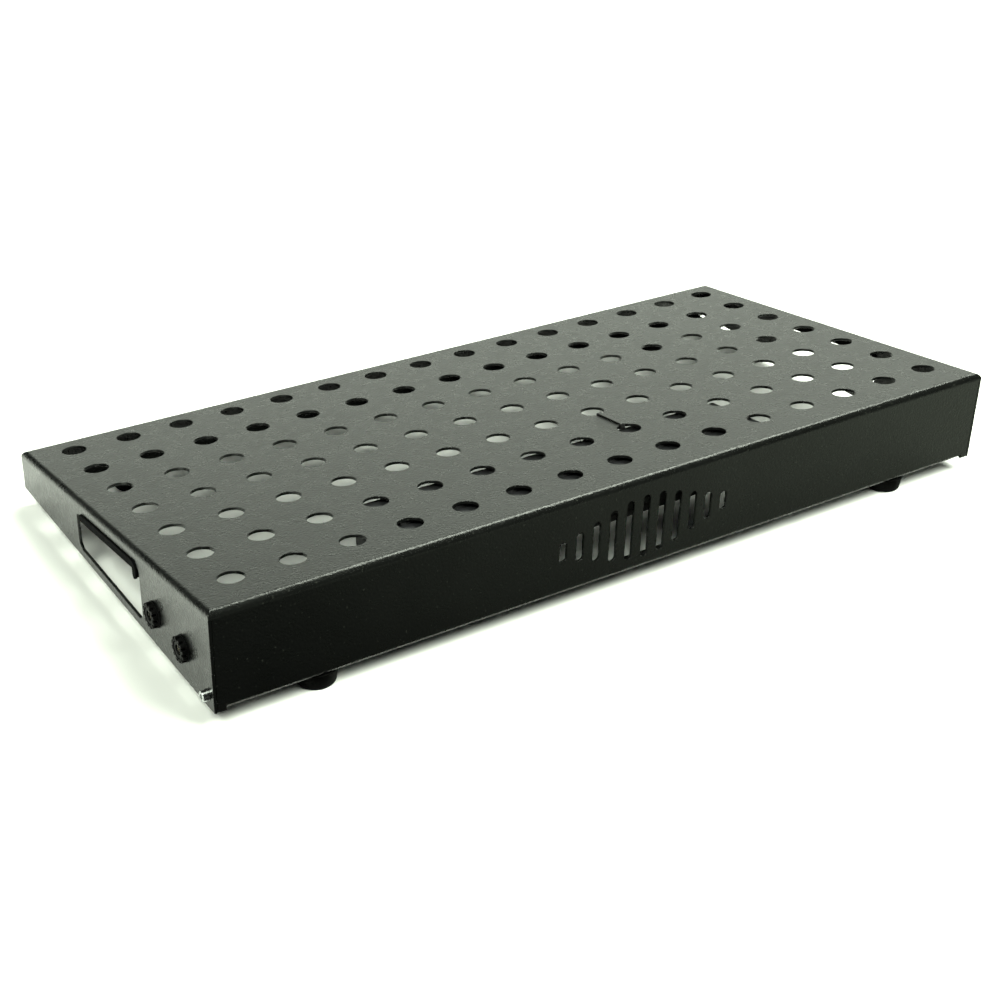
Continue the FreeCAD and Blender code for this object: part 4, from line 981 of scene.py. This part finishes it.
def make_tapes():
    """Hook-and-loop tape: a strip whose pile makes its faces and edges uneven."""
    for node in ("loop_tape", "hook_tape"):
        (x0, down0, off0), (x1, down1, off1) = deck_box(node)
        bm = bmesh.new()
        long_steps, wide_steps = 190, 12
        fuzz = 0.28
        sides = []
        for off, lift in ((off1, -1), (off0, 1)):
            rows = []
            for i in range(long_steps + 1):
                row = []
                for j in range(wide_steps + 1):
                    x = x0 + (x1 - x0) * i / long_steps
                    down = down0 + (down1 - down0) * j / wide_steps
                    wild = noise.noise_vector(Vector((x * 0.9, down * 0.9, off)))
                    if j in (0, wide_steps):
                        down += (1 if j == 0 else -1) * fuzz * (1 + wild.y)
                    level = off + lift * fuzz * 0.5 * (1 + wild.z)
                    row.append(bm.verts.new(on_deck(x, down, level) * MM))
                rows.append(row)
            sides.append(rows)
            for a, b in zip(rows, rows[1:]):
                for j in range(wide_steps):
                    bm.faces.new((a[j], b[j], b[j + 1], a[j + 1]))
        upper, lower = sides
        rim = [(i, 0) for i in range(long_steps)] + [(long_steps, j) for j in range(wide_steps)]
        rim += [(i, wide_steps) for i in range(long_steps, 0, -1)]
        rim += [(0, j) for j in range(wide_steps, 0, -1)]
        for (i, j), (m, n) in zip(rim, rim[1:] + rim[:1]):
            bm.faces.new((upper[i][j], upper[m][n], lower[m][n], lower[i][j]))
        make_piece(node + "_strip", bm, "tape_fabric", [node])


# ---- cable tie ----

def make_cable_tie():
    x, first = hole_place(TIE_COLUMN, TIE_ROWS[0])
    second = hole_place(TIE_COLUMN, TIE_ROWS[1])[1]
    reach = math.sqrt(HOLE_RADIUS ** 2 - (TIE_WIDTH / 2) ** 2)
    near, far = first + reach, second - reach
    slack = 0.15
    mid = TIE_THICKNESS / 2
    bm = bmesh.new()
    clear = slack + mid
    corners = [(near - clear, clear), (far + clear, clear),
               (far + clear, -SHEET - clear), (near - clear, -SHEET - clear)]
    line = rounded(corners, [1.0] * 4, steps=6)
    section = rectangle((-mid, -TIE_WIDTH / 2), (mid, TIE_WIDTH / 2), 0.35, steps=3)
    add_sweep(bm, [on_deck(x, p.x, p.y) for p in line], X, section, closed=True)
    head_at = far - 6.5
    top = -SHEET - slack - 0.2
    head = rectangle((x - 2.9, head_at - 2.4), (x + 2.9, head_at + 2.4), 0.7)
    window = rectangle((x - 1.9, head_at - 0.75), (x + 1.9, head_at + 0.75), 0.2, steps=2)
    add_sheet(bm, head, [window], lambda u, v, depth: on_deck(u, v, top - depth), 5.0, edge=0.4)
    tail = [on_deck(x, head_at, top - 4.9 + 4.0), on_deck(x, head_at, top - 5.0)]
    teeth = 6
    for k in range(teeth + 1):
        tail.append(on_deck(x, head_at, top - 5.4 - 3.4 * k / teeth))
    add_sweep(bm, tail, X, section, swell=lambda k: 1.0 if k < 2 or k % 2 else 0.8)
    make_piece("cable_tie_strap", bm, "tie_nylon", ["cable_tie"])


make_camera()
make_deck()
make_long_wall("tall_wall", TALL_FACE, 1, TALL_HEIGHT)
make_long_wall("low_wall", LOW_FACE, -1, LOW_HEIGHT)
make_side_wall("left_wall", LEFT, 1)
make_side_wall("right_wall", RIGHT, -1)
make_trim("left_handle_trim", LEFT, 1)
make_trim("right_handle_trim", RIGHT, -1)
make_feet()
make_fasteners()
for jack_name, jack_y, jack_z in jack_places():
    make_jack(jack_name, jack_y, jack_z)
make_supply()
make_tapes()
make_cable_tie()

for part in frame["record"]["subparts"]:
    node = frame["nodes"][part["node"]]
    node.data.materials.clear()
    node.data.materials.append(MATERIALS[part["material_slot"]])

# ---- light and floor ----
WIDE = 9.0
SPLIT = TALL_FACE * MM
BACK = [(-WIDE, SPLIT), (WIDE, SPLIT), (WIDE, WIDE), (-WIDE, WIDE)]
FRONT = [(-WIDE, -WIDE), (WIDE, -WIDE), (WIDE, SPLIT), (-WIDE, SPLIT)]
CARD_DROP = 0.0005
CARD_DARK, CARD_PALE = (0.002, 0.002, 0.002), (0.17, 0.18, 0.16)
CARD_DARK_X, CARD_PALE_X = -0.25, 0.40
TINT = (0.92, 1.0, 0.86)
WORLD_COLOUR, WORLD_STRENGTH = (0.9, 0.92, 0.9, 1), 0.02


def make_dome(radius):
    """A pale sphere far outside everything, which only the camera sees."""
    look = Look("dome", (0.9, 0.9, 0.9), 0.9)
    look.shader.inputs["Emission Color"].default_value = (1, 1, 1, 1)
    look.shader.inputs["Emission Strength"].default_value = 1.0
    bm = bmesh.new()
    bmesh.ops.create_uvsphere(bm, u_segments=32, v_segments=16, radius=radius)
    mesh = bpy.data.meshes.new("dome")
    bm.to_mesh(mesh)
    bm.free()
    hide_from(put_on_stage(mesh, look.material), "diffuse", "glossy", "transmission", "shadow")


floor_look = Look("floor_paper", (0.86, 0.86, 0.85), 0.75)
floor_look.vary_roughness(floor_look.noise(30.0), 0.7, 0.8)
make_floor("floor", BACK, floor_look.material)
hide_from(make_floor("floor_front", FRONT, floor_look.material), "diffuse", "glossy", "shadow")

# What the tall wall mirrors instead of the front floor: a card that pales from left to right.
card_look = Look("card_paper", (0.1, 0.1, 0.1), 0.9)
across = card_look.add("ShaderNodeSeparateXYZ", Vector=card_look.coords.outputs["Object"])
card_look.vary_colour(across.outputs["X"], CARD_DARK, CARD_PALE, CARD_DARK_X, CARD_PALE_X)
card = make_floor("card", FRONT, card_look.material)
card.location.z = -CARD_DROP
hide_from(card, "camera")

make_dome(2 * WIDE)

# Each softbox: place, what it faces, width, height, radiance.
key = softbox("key_light", (0.96, -1.23, 2.0), (0, 0, 0), 1.6, 1.2, 21.0, TINT)
softbox("rim_light", (1.3, 0.9, 1.85), (1.3, -0.15, 0), 1.9, 0.65, 15.0, TINT)
softbox("back_light", (1.4, 2.4, 0.7), (0, 0, 0.05), 3.2, 1.5, 1.15, TINT)
softbox("left_light", (-1.25, -0.45, 1.75), (-0.35, -0.05, 0), 0.8, 0.8, 23.0, TINT)
far = softbox("far_light", (0.9, 1.7, 2.6), (0.9, 1.7, 0), 1.6, 1.2, 5.0, TINT)
hide_from(key, "glossy")
hide_from(far, "glossy")

world = bpy.data.worlds.new("studio")
world.use_nodes = True
sky = world.node_tree.nodes["Background"].inputs
sky["Color"].default_value, sky["Strength"].default_value = WORLD_COLOUR, WORLD_STRENGTH
scene = bpy.context.scene
scene.world = world
scene.view_settings.view_transform = "Standard"
